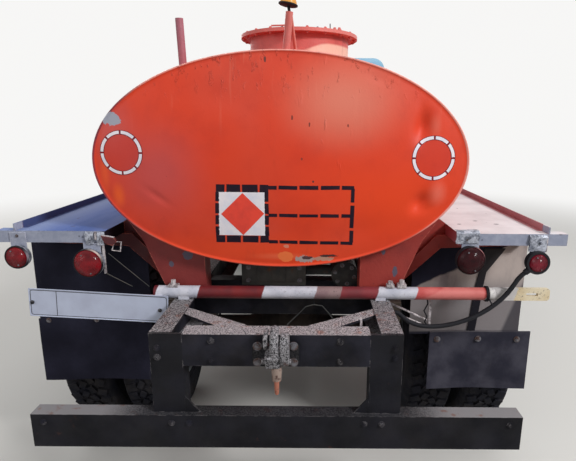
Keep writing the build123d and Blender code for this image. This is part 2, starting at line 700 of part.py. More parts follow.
def seat():
    base = block((-690, 690), (430, 900), (980, 1170))
    cushion = block((-720, 720), (400, 930), (1170, 1310))
    back = side_plate([(212, 1310), (400, 1310), (330, 1800), (235, 1800)], (-720, 720))
    cushion = fillet(cushion.edges().filter_by(Axis.X), 40)
    return base + cushion + fillet(back.edges().filter_by(Axis.X), 25)


STEERING_CENTRE = (-380, 1000, 1515)
COLUMN_SLOPE = (0, 0.6, -0.8)


def along_column(distance):
    return tuple(c + distance * s for c, s in zip(STEERING_CENTRE, COLUMN_SLOPE))


def dashboard(inner):
    panel = side_plate([(1360, 1545), (1235, 1545), (1225, 1520), (1235, 1400), (1300, 1380),
                        (1360, 1380)], (-800, 800), 8)
    column = rod(along_column(45), along_column(700), 24) + rod(along_column(0), along_column(45), 10)
    stay = block((-400, -360), (1250, 1270), (1180, 1400))
    return (panel + column + stay) & inner


def steering_wheel():
    plane = Plane(origin=STEERING_CENTRE, x_dir=(1, 0, 0), z_dir=(0, -0.6, 0.8))
    rim = Torus(205, 12)
    hub = Pos(0, 0, -14) * Cylinder(34, 52)
    lower_spoke = Box(20, 205, 8, align=(Align.CENTER, Align.MAX, Align.CENTER))
    spokes = Pos(0, 0, -6) * (Box(400, 20, 8) + lower_spoke)
    bore = Pos(0, 0, -50) * Cylinder(10 + RUNNING_CLEARANCE, 100)
    return plane * (rim + hub + spokes - bore)


def front_wing():
    """Pressed wing with its arch: a skin over the wheel, open below and inside the arch."""
    top = [(CAB_TOE_Y + 8, 1204), (2250, 1186), (2440, 1130), (2520, 990), (2530, 860), (2508, 640)]
    shape = [(CAB_TOE_Y + 8, 640)] + top

    def solid(wall):
        inner = [(CAB_TOE_Y + 8 + wall, 600 if wall else 640)]
        inner += [(CAB_TOE_Y + 8 + wall, 1204 - wall)] + [(y - wall, z - wall) for y, z in top[1:5]]
        inner += [(2508 - wall, 600 if wall else 640)]
        body = side_plate(inner, (WING_INNER_X + wall, WING_OUTER_X - wall))
        rim = body.faces().sort_by(Axis.X)[-1].edges()
        return fillet([e for e in rim if e.center().Z > 1000], 60 - wall)

    wing = solid(0) - solid(WING_WALL)
    arch = Pos((600 + 1000) / 2, FRONT_AXLE_Y, AXLE_Z) * Rot(0, 90, 0) * Cylinder(ARCH_RADIUS, 400)
    wing -= arch
    wing -= block((WING_INNER_X - 10, 640), (CAB_TOE_Y - 10, 2600), (500, RAIL_TOP_Z + 8))
    cowl_side = block((0, 2 * WING_OUTER_X), (CAB_TOE_Y - 10, CAB_COWL_Y + 8), (ARCH_CROWN_Z - 8, 1300))
    wing -= cowl_side & CAB_OUTER_GROWN
    lamp_hole = rod((HEADLAMP_X, 2300, HEADLAMP_Z), (HEADLAMP_X, 2700, HEADLAMP_Z), HEADLAMP_RADIUS)
    return wing - lamp_hole


HEADLAMP_X = 715
HEADLAMP_Z = 955
HEADLAMP_RADIUS = 105


def headlamp():
    bucket = rod((HEADLAMP_X, 2440, HEADLAMP_Z), (HEADLAMP_X, 2545, HEADLAMP_Z), HEADLAMP_RADIUS - 1)
    rim = rod((HEADLAMP_X, 2532, HEADLAMP_Z), (HEADLAMP_X, 2556, HEADLAMP_Z), HEADLAMP_RADIUS + 8)
    lens = Pos(HEADLAMP_X, 2556, HEADLAMP_Z) * Rot(-90, 0, 0) * dome(92, 20)
    return bucket + rim + lens


def grille_panel():
    """Pressed panel between the wings with its rows of slots."""
    half, y, low, high = WING_INNER_X - 2, (2440, 2462), 700, 1186
    panel = block((-half, half), y, (low, high))
    rows, slot, pitch = 7, 26, 56
    for row in range(rows):
        z = low + 90 + row * pitch
        for x0, x1 in ((-430, -16), (16, 430)):
            opening = block((x0, x1), (y[0] - 5, y[1] + 5), (z, z + slot))
            panel -= fillet(opening.edges().filter_by(Axis.Y), 12)
    rail_x = (RAIL_OUTER_X - RAIL_FLANGE - 5, RAIL_OUTER_X + 5)
    panel -= both_fused(block(rail_x, (y[0] - 5, y[1] + 5), (600, RAIL_TOP_Z + 6)))
    foot = block((352, 416), (2440, 2478), (RAIL_TOP_Z, RAIL_TOP_Z + 8))
    return panel + both_fused(foot)


def hood_section(y, half, edge_z, side_z, crown_z):
    plane = Plane(origin=(0, y, 0), x_dir=(1, 0, 0), z_dir=(0, -1, 0))
    shoulder = half - 36
    face = make_face([Line((-half, edge_z), (half, edge_z)), Line((half, edge_z), (shoulder, side_z)),
                      ThreePointArc((shoulder, side_z), (0, crown_z), (-shoulder, side_z)),
                      Line((-shoulder, side_z), (-half, edge_z))])
    return plane * face


def hood():
    """Crowned shell, open below, that closes down over its nose."""
    rear, front = CAB_COWL_Y + 10, HOOD_FRONT_Y
    outer = loft([hood_section(front, 466, HOOD_EDGE_Z, 1262, 1345),
                  hood_section(rear, 560, HOOD_EDGE_Z, 1400, 1520)], ruled=True)
    nose = outer.faces().sort_by(Axis.Y)[-1].edges().sort_by(Axis.Z)[-1]
    outer = fillet(nose, 60)
    inner = loft([hood_section(front - 12, 456, HOOD_EDGE_Z - 20, 1252, 1333),
                  hood_section(rear - 1, 550, HOOD_EDGE_Z - 20, 1390, 1508)], ruled=True)
    shell = outer - inner
    y, z = HOOD_HINGE_Y, HOOD_HINGE_Z
    for x in (-HOOD_HINGE_X, HOOD_HINGE_X):
        arm = side_plate([(y, z - 12), (y, z + 12), (y + 22, z + 12), (y + 105, z - 40), (y + 105, z - 62),
                          (y + 22, z - 42), (y + 14, z - 12)], (x - 14, x + 14))
        arm += rod((x - 14, y, z), (x + 14, y, z), 12)
        arm -= rod((x - 20, y, z), (x + 20, y, z), 7 + RUNNING_CLEARANCE)
        shell += arm - inner
    return shell


def cowl_hinges():
    """Lugs with pins on the cowl that carry the hood's arms."""
    lugs = []
    y, z = HOOD_HINGE_Y, HOOD_HINGE_Z
    for x in (-HOOD_HINGE_X, HOOD_HINGE_X):
        lug = rod((x - 25, y, z), (x + 25, y, z), 7)
        for low in (x - 25, x + 15):
            lug += side_plate([(y - 40, z - 60), (y - 21, z - 55), (y - 20, z - 16), (y + 12, z - 14),
                               (y + 12, z + 12), (y - 36, z + 12)], (low, low + 10))
        lugs.append(lug)
    return lugs[0] + lugs[1]


def running_board():
    board = block((615, 925), (345, 1240), (590, 620))
    board -= block((621, 919), (351, 1234), (590, 614))
    for y in (420, 1130):
        bracket = cross_plate([(RAIL_OUTER_X, 900), (RAIL_OUTER_X, 640), (470, 560), (640, 560), (640, 590),
                               (490, 595), (460, 660), (440, 900)], (y, y + 40))
        board += bracket
    return board


def mirror_arm():
    """Two stays from the windscreen post and the mirror head."""
    head = block((935, 1095), (1352, 1372), (1640, 1910))
    head = fillet(head.edges().filter_by(Axis.Y), 25)
    stays = rod((800, 1330, 1560), (1015, 1362, 1640), 8) + rod((712, 1222, 1950), (1015, 1362, 1895), 8)
    return (stays - CAB_OUTER) + head


# Wheels, knuckles and steering

def turned(profile, x, y):
    """Profile of (x, r) points turned about the wheel's axis and placed at x, y."""
    return Pos(x, y, AXLE_Z) * revolve(make_face(Polyline(*profile, close=True)), Axis.X)


def rim_band(x, y):
    """Flat-based rim with a flange at each side."""
    half = 100
    profile = [(-half, RIM_RADIUS), (-half, RIM_RADIUS + 18), (-half - 9, RIM_RADIUS + 18),
               (-half - 9, RIM_RADIUS - 10), (half + 9, RIM_RADIUS - 10), (half + 9, RIM_RADIUS + 18),
               (half, RIM_RADIUS + 18), (half, RIM_RADIUS)]
    return turned(profile, x, y)


def rim(x, y, disc_x, hub_x):
    """Rim band and dished disc; disc_x is the disc's offset at the rim, hub_x at the hub."""
    disc = turned([(disc_x, RIM_RADIUS - 10), (disc_x + 9, RIM_RADIUS - 10), (disc_x + 9, 214),
                   (hub_x + 9, 150), (hub_x + 9, 62), (hub_x, 62), (hub_x, 150), (disc_x, 214)], x, y)
    for number in range(6):
        angle = 60 * number
        hole = Pos(x, y, AXLE_Z) * Rot(angle, 0, 0) * Pos(0, 0, 184) * Rot(0, 90, 0) * Cylinder(23, 400)
        disc -= hole
    return rim_band(x, y) + disc


# Tyre's outline as polygon rings: distance from its middle, radius over the flats
TYRE_OUTLINE = [(-TYRE_WIDTH / 2, 390), (-104, TYRE_RADIUS - 14), (-86, TYRE_RADIUS),
                (86, TYRE_RADIUS), (104, TYRE_RADIUS - 14), (TYRE_WIDTH / 2, 390)]
BEAD_X, BEAD_RADIUS, SIDEWALL_RADIUS = 100, RIM_RADIUS + 19, 350


def polygon_loft(rings):
    """Ruled loft along X through polygons, from (distance, radius over the flats) pairs."""
    sections = [Plane(origin=(distance, 0, 0), x_dir=(0, 1, 0), z_dir=(1, 0, 0))
                * RegularPolygon(radius, TYRE_SIDES, major_radius=False) for distance, radius in rings]
    return loft(sections, ruled=True)


def tyre(x, y):
    """Ring of flats, so that it stays light; one flat stands on the ground."""
    ring = polygon_loft(TYRE_OUTLINE) - polygon_loft([(-TYRE_WIDTH, RIM_RADIUS), (TYRE_WIDTH, RIM_RADIUS)])
    side = polygon_loft([(BEAD_X, BEAD_RADIUS), (TYRE_WIDTH / 2, SIDEWALL_RADIUS)])
    ring -= side + mirrored(side)
    return Pos(x, y, AXLE_Z) * Rot(180 / TYRE_SIDES, 0, 0) * ring


def front_wheel(side):
    x = side * FRONT_TRACK / 2
    body = rim(abs(x), FRONT_AXLE_Y, 34, 62)
    drum = [(-72, 196), (-72, 204), (48, 204), (62, 120), (62, 70), (52, 70), (52, 110), (40, 196)]
    bored = [(-60, SPINDLE_RADIUS + RUNNING_CLEARANCE), (-60, 64), (52, 64), (52, 72), (62, 72), (71, 62),
             (118, 56), (118, SPINDLE_RADIUS + RUNNING_CLEARANCE)]
    body += turned(drum, abs(x), FRONT_AXLE_Y) + turned(bored, abs(x), FRONT_AXLE_Y)
    return body if side > 0 else mirrored(body)


def rear_wheels(side):
    """Twin rims on one hub, dished towards each other."""
    middle = REAR_TRACK / 2
    outer_x, inner_x = middle + TWIN_SPACING / 2, middle - TWIN_SPACING / 2
    outer = rim(outer_x, REAR_AXLE_Y, -60, -TWIN_SPACING / 2 + 1)
    inner = mirrored(rim(-inner_x, REAR_AXLE_Y, -60, -TWIN_SPACING / 2 + 1))
    drum = [(-250, 212), (-250, 221), (-12, 221), (-2, 120), (-2, 62), (-12, 62), (-12, 110), (-22, 212)]
    bored = [(-240, SPINDLE_RADIUS + RUNNING_CLEARANCE), (-240, 60), (-20, 62), (-12, 70), (12, 70),
             (20, 60), (140, 56), (140, SPINDLE_RADIUS + RUNNING_CLEARANCE)]
    hub_part = turned(drum, middle, REAR_AXLE_Y) + turned(bored, middle, REAR_AXLE_Y)
    whole = outer + inner + hub_part
    return whole if side > 0 else mirrored(whole)


def knuckle(side):
    """Fork round the beam's eye, spindle for the hub and the steering arm."""
    centre = (KINGPIN_X, FRONT_AXLE_Y)
    fork = None
    low, high = AXLE_Z - 86, AXLE_Z + 86
    for z in ((low, AXLE_Z - 43), (AXLE_Z + 43, high)):
        lug = rod((*centre, z[0]), (*centre, z[1]), 34)
        lug += block((KINGPIN_X, KINGPIN_X + 62), (FRONT_AXLE_Y - 30, FRONT_AXLE_Y + 30), z)
        fork = lug if fork is None else fork + lug
    fork += block((KINGPIN_X + 44, HUB_FACE_X), (FRONT_AXLE_Y - 40, FRONT_AXLE_Y + 40), (low, high))
    spindle = rod((KINGPIN_X + 60, FRONT_AXLE_Y, AXLE_Z), (SPINDLE_END_X, FRONT_AXLE_Y, AXLE_Z),
                  SPINDLE_RADIUS)
    ball_y = FRONT_AXLE_Y - STEERING_ARM
    arm = plan_plate([(KINGPIN_X - 30, FRONT_AXLE_Y - 20), (KINGPIN_X + 26, FRONT_AXLE_Y - 28),
                      (KINGPIN_X + 20, ball_y - 20), (KINGPIN_X - 20, ball_y - 20)],
                     (AXLE_Z - 86, AXLE_Z - 66))
    ball = rod((KINGPIN_X, ball_y, AXLE_Z - 112), (KINGPIN_X, ball_y, AXLE_Z - 86), BALL_RADIUS)
    part = fork + spindle + arm + ball
    part -= rod((*centre, 300), (*centre, 700), KINGPIN_RADIUS + RUNNING_CLEARANCE)
    return part if side > 0 else mirrored(part)


def tie_rod():
    """Rod between the two steering arms' balls; with arms parallel it only swings."""
    x, y, z = KINGPIN_X, FRONT_AXLE_Y - STEERING_ARM, AXLE_Z - 100
    bar = rod((-x, y, z), (x, y, z), 14)
    for side in (-1, 1):
        bar += rod((side * x, y, z - 14), (side * x, y, z + 13), 22)
        bar -= rod((side * x, y, z - 20), (side * x, y, z + 20), BALL_RADIUS + RUNNING_CLEARANCE)
    return bar


# Write the sub-parts

CAB_OUTER = cab_form(0)
CAB_INNER = cab_form(CAB_WALL)
CAB_OUTER_GROWN = cab_form(-7)
PANE_LAYER = cab_form(18) - cab_form(24)

save("frame_rails", both(frame_rail()))
save("frame_crossmembers", [frame_crossmember(y, 70) for y in (-1985, -760, -150, 560, 2480)])
save("rear_crossmember", rear_crossmember())
save("tow_hook", tow_hook())
save("underrun_bumper", underrun_bumper())
save("front_bumper", front_bumper())
save("axles", front_axle_beam(), rear_axle())
save("leaf_springs", both(front_spring()), both(rear_spring()))
save("driveshaft", driveshaft())
save("engine_block", engine_block())
save("radiator", radiator())
save("exhaust", exhaust())
save("fuel_tank", fuel_tank())
save("tank_shell", tank_shell())
save("tank_cradles", tank_cradles())
save("manhole_neck", manhole_neck())
save("hatch_lid", hatch_lid())
save("discharge_pipe", discharge_pipe())
save("tank_post", tank_post())
save("marker_lamp", marker_lamp())
save("breather_pipe", breather_pipe())
save("catwalks", both(catwalk()))
save("catwalk_brackets", catwalk_brackets())
save("mud_flaps", mud_flaps())
save("striped_bar", striped_bar())
save("number_plate", number_plate())
save("tail_lamps", tail_lamps())
save("lamp_brackets", lamp_brackets())
save("lamp_cable", lamp_cable())
CAB_SHELL = cab_shell(CAB_OUTER, CAB_INNER) + cowl_hinges()
for name, y, z in CAB_PANELS:
    save(name, CAB_SHELL & block((-1200, 1200), y, z))
save("cab_glass", glass(PANE_LAYER, windscreen_cut()), glass(PANE_LAYER, rear_window_cut()))
RIGHT_DOOR = door(CAB_OUTER, CAB_INNER)
save("door_right", RIGHT_DOOR)
save("door_left", mirrored(RIGHT_DOOR))
RIGHT_GLASS = glass(PANE_LAYER, door_window_cut())
save("door_glass_right", RIGHT_GLASS)
save("door_glass_left", mirrored(RIGHT_GLASS))
save("seat", seat())
save("dashboard", dashboard(CAB_INNER))
save("steering_wheel", steering_wheel())
save("front_wings", both(front_wing()))
save("headlamps", both(headlamp()))
save("grille_panel", grille_panel())
save("hood", hood())
save("running_boards", both(running_board()))
save("mirrors", both(mirror_arm()))
for name, side in (("left", -1), ("right", 1)):
    save(f"knuckle_{name}", knuckle(side))
    save(f"front_rim_{name}", front_wheel(side))
    save(f"front_tyre_{name}", tyre(side * FRONT_TRACK / 2, FRONT_AXLE_Y))
    save(f"rear_rims_{name}", rear_wheels(side))
    save(f"rear_tyres_{name}",
         [tyre(side * (REAR_TRACK + k * TWIN_SPACING) / 2, REAR_AXLE_Y) for k in (-1, 1)])
save("tie_rod", tie_rod())
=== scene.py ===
import json
import math
import random

import bmesh
import bpy
import numpy as np
from mathutils import Matrix, Vector

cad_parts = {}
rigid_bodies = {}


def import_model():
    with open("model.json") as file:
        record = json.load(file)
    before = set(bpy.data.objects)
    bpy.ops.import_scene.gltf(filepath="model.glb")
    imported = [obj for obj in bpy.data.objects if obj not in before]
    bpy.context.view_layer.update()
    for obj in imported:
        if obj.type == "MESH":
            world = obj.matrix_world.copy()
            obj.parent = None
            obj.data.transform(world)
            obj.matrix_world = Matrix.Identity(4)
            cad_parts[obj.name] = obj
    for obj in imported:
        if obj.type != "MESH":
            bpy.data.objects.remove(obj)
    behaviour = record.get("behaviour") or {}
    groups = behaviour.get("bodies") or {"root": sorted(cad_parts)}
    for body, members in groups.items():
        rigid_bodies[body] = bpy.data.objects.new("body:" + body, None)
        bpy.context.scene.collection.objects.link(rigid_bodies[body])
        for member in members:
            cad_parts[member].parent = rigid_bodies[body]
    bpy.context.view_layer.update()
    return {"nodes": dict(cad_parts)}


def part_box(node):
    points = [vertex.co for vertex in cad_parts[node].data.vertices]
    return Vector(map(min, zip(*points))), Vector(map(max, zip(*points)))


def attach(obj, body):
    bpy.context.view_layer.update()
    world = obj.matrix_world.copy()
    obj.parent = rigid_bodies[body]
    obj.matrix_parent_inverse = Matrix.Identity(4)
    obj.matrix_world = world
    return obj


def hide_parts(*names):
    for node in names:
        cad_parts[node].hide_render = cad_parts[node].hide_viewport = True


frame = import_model()
cadNodes = frame["nodes"]
scene = bpy.context.scene
print("stage: frame loaded,", len(cadNodes), "nodes")


# Colours are written as 0 to 255 and turned to linear light here
def tone(red, green, blue):
    parts = [value / 255 for value in (red, green, blue)]
    return tuple(v / 12.92 if v <= 0.04045 else ((v + 0.055) / 1.055) ** 2.4 for v in parts) + (1,)


# A material under construction: nodes are added by the small methods below
class Finish:
    def __init__(self, name, roughness=0.5, metallic=0.0, **fixed):
        self.material = bpy.data.materials.new(name)
        self.material.use_nodes = True
        self.tree = self.material.node_tree
        self.shader = self.tree.nodes["Principled BSDF"]
        self.coords = self.tree.nodes.new("ShaderNodeTexCoord").outputs["Object"]
        self.shader.inputs["Roughness"].default_value = roughness
        self.shader.inputs["Metallic"].default_value = metallic
        for label, value in fixed.items():
            self.shader.inputs[label.replace("_", " ")].default_value = value

    def add(self, kind, sockets=None, **settings):
        node = self.tree.nodes.new(kind)
        for key, value in settings.items():
            setattr(node, key, value)
        for key, value in (sockets or {}).items():
            self.feed(node.inputs[key], value)
        return node

    def feed(self, socket, value):
        if isinstance(value, bpy.types.NodeSocket):
            self.tree.links.new(value, socket)
        else:
            socket.default_value = value

    def noise(self, scale, detail=4.0, rough=0.55, stretch=(1, 1, 1), twist=0.0, shift=(0, 0, 0)):
        place = self.add("ShaderNodeMapping", {"Vector": self.coords, "Scale": stretch, "Location": shift})
        return self.add("ShaderNodeTexNoise", {"Vector": place.outputs[0], "Scale": scale, "Detail": detail,
                                               "Roughness": rough, "Distortion": twist}).outputs["Fac"]

    def cells(self, scale, feature="F1"):
        return self.add("ShaderNodeTexVoronoi", {"Vector": self.coords, "Scale": scale},
                        feature=feature).outputs["Distance"]

    def ramp(self, value, low, high, start=0.0, end=1.0):  # 0 below low, 1 above high
        return self.add("ShaderNodeMapRange", {"Value": value, "From Min": low, "From Max": high,
                                               "To Min": start, "To Max": end},
                        interpolation_type="SMOOTHSTEP").outputs[0]

    def math(self, operation, first, second=0.0):
        return self.add("ShaderNodeMath", {0: first, 1: second}, operation=operation).outputs[0]

    def mix(self, share, first, second):
        node = self.add("ShaderNodeMix", {0: share, 6: first, 7: second}, data_type="RGBA")
        return node.outputs[2]

    def axis(self, letter):
        return self.add("ShaderNodeSeparateXYZ", {0: self.coords}).outputs[letter]

    def reach(self, centre, radii):  # 0 at the centre, 1 on the ellipsoid
        near = self.add("ShaderNodeVectorMath", {0: self.coords, 1: centre}, operation="SUBTRACT")
        unit = self.add("ShaderNodeVectorMath", {0: near.outputs[0], 1: radii}, operation="DIVIDE")
        return self.add("ShaderNodeVectorMath", {0: unit.outputs[0]}, operation="LENGTH").outputs["Value"]

    def spot(self, centre, radii, ragged=0.3, scale=25.0):  # 1 inside a ragged ellipsoid
        wobble = self.math("MULTIPLY", self.math("SUBTRACT", self.noise(scale), 0.5), 2 * ragged)
        return self.ramp(self.math("ADD", self.reach(centre, radii), wobble), 1.06, 0.94)

    def glow(self, centre, radii):  # a soft round falloff
        return self.ramp(self.reach(centre, radii), 1.0, 0.0)

    def edges(self, radius):  # 1 on convex and concave edges
        worn = self.add("ShaderNodeBevel", {"Radius": radius}, samples=4).outputs[0]
        flat = self.add("ShaderNodeNewGeometry").outputs["Normal"]
        same = self.add("ShaderNodeVectorMath", {0: worn, 1: flat}, operation="DOT_PRODUCT").outputs["Value"]
        return self.ramp(same, 0.985, 0.80)

    def colour(self, value):
        self.feed(self.shader.inputs["Base Color"], value)

    def rough(self, value):
        self.feed(self.shader.inputs["Roughness"], value)

    def relief(self, height, distance, strength=0.6):
        bump = self.add("ShaderNodeBump", {"Height": height, "Distance": distance, "Strength": strength})
        self.feed(self.shader.inputs["Normal"], bump.outputs[0])


finishes = {}


def finish(maker):  # each material function runs once and is kept under its own name
    built = maker()
    finishes[maker.__name__] = built.material
    return maker


tank = {
    # patches on the rear end, soft then ragged: x, z, half width, half height, share, colour; the soft ones are partly
    # tints of the paint and partly painted highlights (the pale pool above the middle, the bright orange patches by the
    # left rim, the bright strip along the bottom, the pale spots beside the dents on the right)
    "tintsAndHighlights": [(0.225, 1.69, 0.30, 0.23, 0.85, (230, 134, 112)), (-0.45, 1.43, 0.26, 0.26, 0.60, (190, 88, 92)),
               (0.38, 1.34, 0.46, 0.24, 0.85, (240, 70, 24)), (-0.07, 1.40, 0.30, 0.26, 0.55, (228, 64, 28)),
               (-0.603, 1.350, 0.034, 0.066, 0.75, (255, 104, 40)), (-0.648, 1.43, 0.026, 0.10, 0.60, (250, 98, 46)),
               (-0.05, 1.135, 0.62, 0.11, 0.85, (250, 82, 42)), (0.0, 1.118, 0.16, 0.020, 0.30, (255, 146, 104)), (-0.62, 1.60, 0.14, 0.14, 0.40, (192, 100, 106)),
               (0.580, 1.365, 0.050, 0.065, 0.55, (240, 128, 108)), (0.560, 1.61, 0.030, 0.060, 0.45, (232, 120, 100))],
    "patches": [(-0.606, 1.624, 0.030, 0.024, 0.85, 42, (168, 170, 184)), (0.090, 1.106, 0.034, 0.014, 0.9, 75, (182, 164, 160)),
                (0.016, 1.116, 0.030, 0.020, 0.4, 60, (255, 128, 72)), (0.096, 1.112, 0.020, 0.007, 0.95, 110, (84, 60, 64)),
                (0.160, 1.108, 0.036, 0.009, 0.95, 75, (200, 150, 130)),
                (0.180, 1.121, 0.030, 0.005, 0.95, 90, (70, 46, 46)), (-0.052, 1.830, 0.004, 0.009, 0.9, 80, (110, 52, 46)),
                (0.044, 1.632, 0.003, 0.008, 0.9, 80, (124, 52, 42)), (0.105, 1.608, 0.003, 0.009, 0.9, 80, (124, 54, 44)),
                (0.120, 1.409, 0.004, 0.004, 0.8, 80, (62, 36, 36)), (0.078, 1.490, 0.003, 0.005, 0.9, 80, (130, 50, 40)),
                (0.242, 1.607, 0.003, 0.006, 0.9, 80, (128, 52, 42)), (0.020, 1.160, 0.010, 0.006, 0.9, 80, (232, 140, 116))],
    "centreZ": (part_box("tank_shell")[0].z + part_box("tank_shell")[1].z) / 2,
    "halfWidth": (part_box("tank_shell")[1].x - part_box("tank_shell")[0].x) / 2,
    "halfHeight": (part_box("tank_shell")[1].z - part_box("tank_shell")[0].z) / 2,
    "rearRimY": -2.270, "frontRimY": 0.060,
    "lip": 0.005, "inset": 0.012, "recess": 0.003, "bulge": 0.046,
}

# Markings brushed on the rear end
stencil = {
    "proud": 0.0008, "ringRadius": 0.0785, "ringBand": 0.011, "ringCentres": ((-0.579, 1.506), (0.557, 1.494)),
    "ringDashes": 8, "ringGap": 5.5,  # degrees
    "ringEdge": 0.0022,
    "lean": (0.050, 1.325), "sag": 0.028,  # the panel leans at its left end, and its bottom row falls to the right
    # dashes of the panel's frame: first where each row runs, then where its dashes start and end
    "thickRows": ((1.175, 1.202), (1.369, 1.397)),
    "thickSpans": ((-0.237, -0.205), (-0.198, -0.147), (-0.140, -0.083), (-0.075, -0.044)),
    "thinRows": ((1.172, 1.185), (1.277, 1.289), (1.380, 1.394)),
    "thinSpans": ((-0.044, -0.012), (-0.005, 0.062), (0.070, 0.139), (0.148, 0.216), (0.225, 0.270)),
    "sideColumns": ((-0.239, -0.226), (-0.058, -0.043)),
    "sideSpans": ((1.202, 1.238), (1.246, 1.281), (1.288, 1.327), (1.334, 1.369)),
    "endColumns": ((0.258, 0.272),),
    "endSpans": ((1.181, 1.228), (1.237, 1.321), (1.332, 1.384)),
    "square": (-0.227, -0.058, 1.203, 1.369),
    "diamond": ((-0.220, 1.286), (-0.141, 1.204), (-0.060, 1.289), (-0.138, 1.366)),
}


# Enamels of the tank and its fittings

def enamel(name, main, faded, dark, roughness=0.42):
    f = Finish(name, roughness, Coat_Weight=0.06, Coat_Roughness=0.35, Specular_IOR_Level=0.32)
    broad = f.ramp(f.noise(1.7, 3.0), 0.38, 0.66)
    fine = f.ramp(f.noise(11.0, 5.0), 0.42, 0.72)
    base = f.mix(broad, main, faded)
    base = f.mix(f.math("MULTIPLY", fine, 0.35), base, dark)
    return f, base


@finish
def tankEnamel():
    f, base = enamel("tankEnamel", tone(228, 66, 34), tone(220, 76, 54), tone(202, 53, 34), 0.5)
    rearY = tank["rearRimY"]
    # tints of the paint and painted highlights
    for x, z, wide, high, share, shade in tank["tintsAndHighlights"]:
        base = f.mix(f.math("MULTIPLY", f.glow((x, rearY, z), (wide, 0.3, high)), share), base, tone(*shade))
    for x, z in stencil["ringCentres"]:
        base = f.mix(f.math("MULTIPLY", f.spot((x, rearY, z), (0.066, 0.3, 0.066), 0.02), 0.35), base, tone(190, 42, 40))
    upper = f.ramp(f.axis("Z"), 1.50, 1.84)
    streaks = f.ramp(f.noise(9.0, 4.0, 0.6, (5.0, 1.0, 0.35)), 0.58, 0.72)
    base = f.mix(f.math("MULTIPLY", f.math("MULTIPLY", streaks, upper), 0.28), base, tone(236, 140, 116))
    grime = f.math("MULTIPLY", f.ramp(f.noise(6.0, 6.0, 0.7, (1, 1, 0.4)), 0.55, 0.75), 0.22)
    base = f.mix(grime, base, tone(156, 44, 34))
    # painted light on the rolled rim: a pale highlight on the right, dark painted shade on the left, and darker reddish
    # brown along the bottom
    onEnd = f.ramp(f.axis("Y"), rearY + 0.024, rearY + 0.018)
    rim = f.math("MULTIPLY", f.ramp(f.reach((0, 0, tank["centreZ"]), (tank["halfWidth"], 1e4, tank["halfHeight"])),
                                    0.984, 0.989), onEnd)
    rimLitAndShadedTone = f.mix(f.ramp(f.axis("X"), -0.45, -0.60), tone(246, 172, 160), tone(104, 40, 58))
    rimLitAndShadedTone = f.mix(f.ramp(f.axis("Z"), 1.28, 1.16), rimLitAndShadedTone, tone(168, 70, 54))
    flaky = f.ramp(f.noise(40.0, 5.0, 0.7), 0.40, 0.60)
    base = f.mix(f.math("MULTIPLY", rim, f.math("MAXIMUM", flaky, 0.75)), base, rimLitAndShadedTone)
    for x, z, wide, high, ragged, scale, shade in tank["patches"]:
        base = f.mix(f.spot((x, rearY, z), (wide, 0.08, high), ragged, scale), base, tone(*shade))
    chips = f.math("MULTIPLY", f.ramp(f.noise(70.0, 3.0, 0.7), 0.75, 0.77), f.ramp(f.noise(4.0), 0.5, 0.62))
    base = f.mix(chips, base, tone(120, 52, 42))
    f.colour(base)
    f.rough(f.ramp(f.noise(5.0, 5.0), 0.3, 0.75, 0.40, 0.62))
    flakes = f.ramp(f.noise(34.0, 5.0, 0.65, (1.6, 1, 0.6)), 0.58, 0.66)
    topEdge = f.ramp(f.axis("Z"), 1.66, 1.83)
    runs = f.math("MULTIPLY", f.ramp(f.noise(16.0, 3.0, 0.6, (2.2, 1, 0.5)), 0.63, 0.72),
                  f.glow((0.16, rearY, 1.62), (0.13, 0.3, 0.30)))
    bumps = f.math("MAXIMUM", f.math("MULTIPLY", flakes, topEdge), runs)
    peel = f.math("MULTIPLY", f.noise(160.0, 2.0), 0.10)
    f.relief(f.math("ADD", bumps, peel), 0.004, 0.75)
    return f


@finish
def fittingEnamel():
    f, base = enamel("fittingEnamel", tone(150, 52, 46), tone(172, 66, 54), tone(104, 38, 38), 0.55)
    # painted shade: the fittings on the left side darker, and darkest under the left deck
    shaded = f.ramp(f.axis("X"), 0.05, -0.05)
    base = f.mix(f.math("MULTIPLY", shaded, 0.45), base, tone(74, 30, 38))
    under = f.math("MULTIPLY", f.ramp(f.math("ABSOLUTE", f.axis("X")), 0.52, 0.60), f.ramp(f.axis("X"), -0.2, -0.3))
    base = f.mix(f.math("MULTIPLY", under, 0.75), base, tone(46, 22, 30))
    rust = f.ramp(f.noise(13.0, 6.0, 0.7), 0.60, 0.68)
    base = f.mix(f.math("MULTIPLY", rust, 0.7), base, tone(86, 40, 38))
    for x, z, wide, high in ((0.398, 1.123, 0.008, 0.014), (0.447, 1.040, 0.010, 0.022), (-0.442, 1.066, 0.010, 0.012),
                             (-0.374, 1.104, 0.022, 0.019)):
        base = f.mix(f.spot((x, -2.215, z), (wide, 0.04, high), 0.45, 60.0), base, tone(88, 80, 96))
    # pale pink along the edges, broken by noise: partly edge wear, partly painted highlight
    base = f.mix(f.math("MULTIPLY", f.edges(0.006), f.ramp(f.noise(30.0), 0.4, 0.6)), base, tone(205, 112, 96))
    f.colour(base)
    f.rough(f.ramp(f.noise(8.0), 0.3, 0.7, 0.48, 0.75))
    f.relief(f.noise(90.0, 4.0), 0.002, 0.5)
    return f


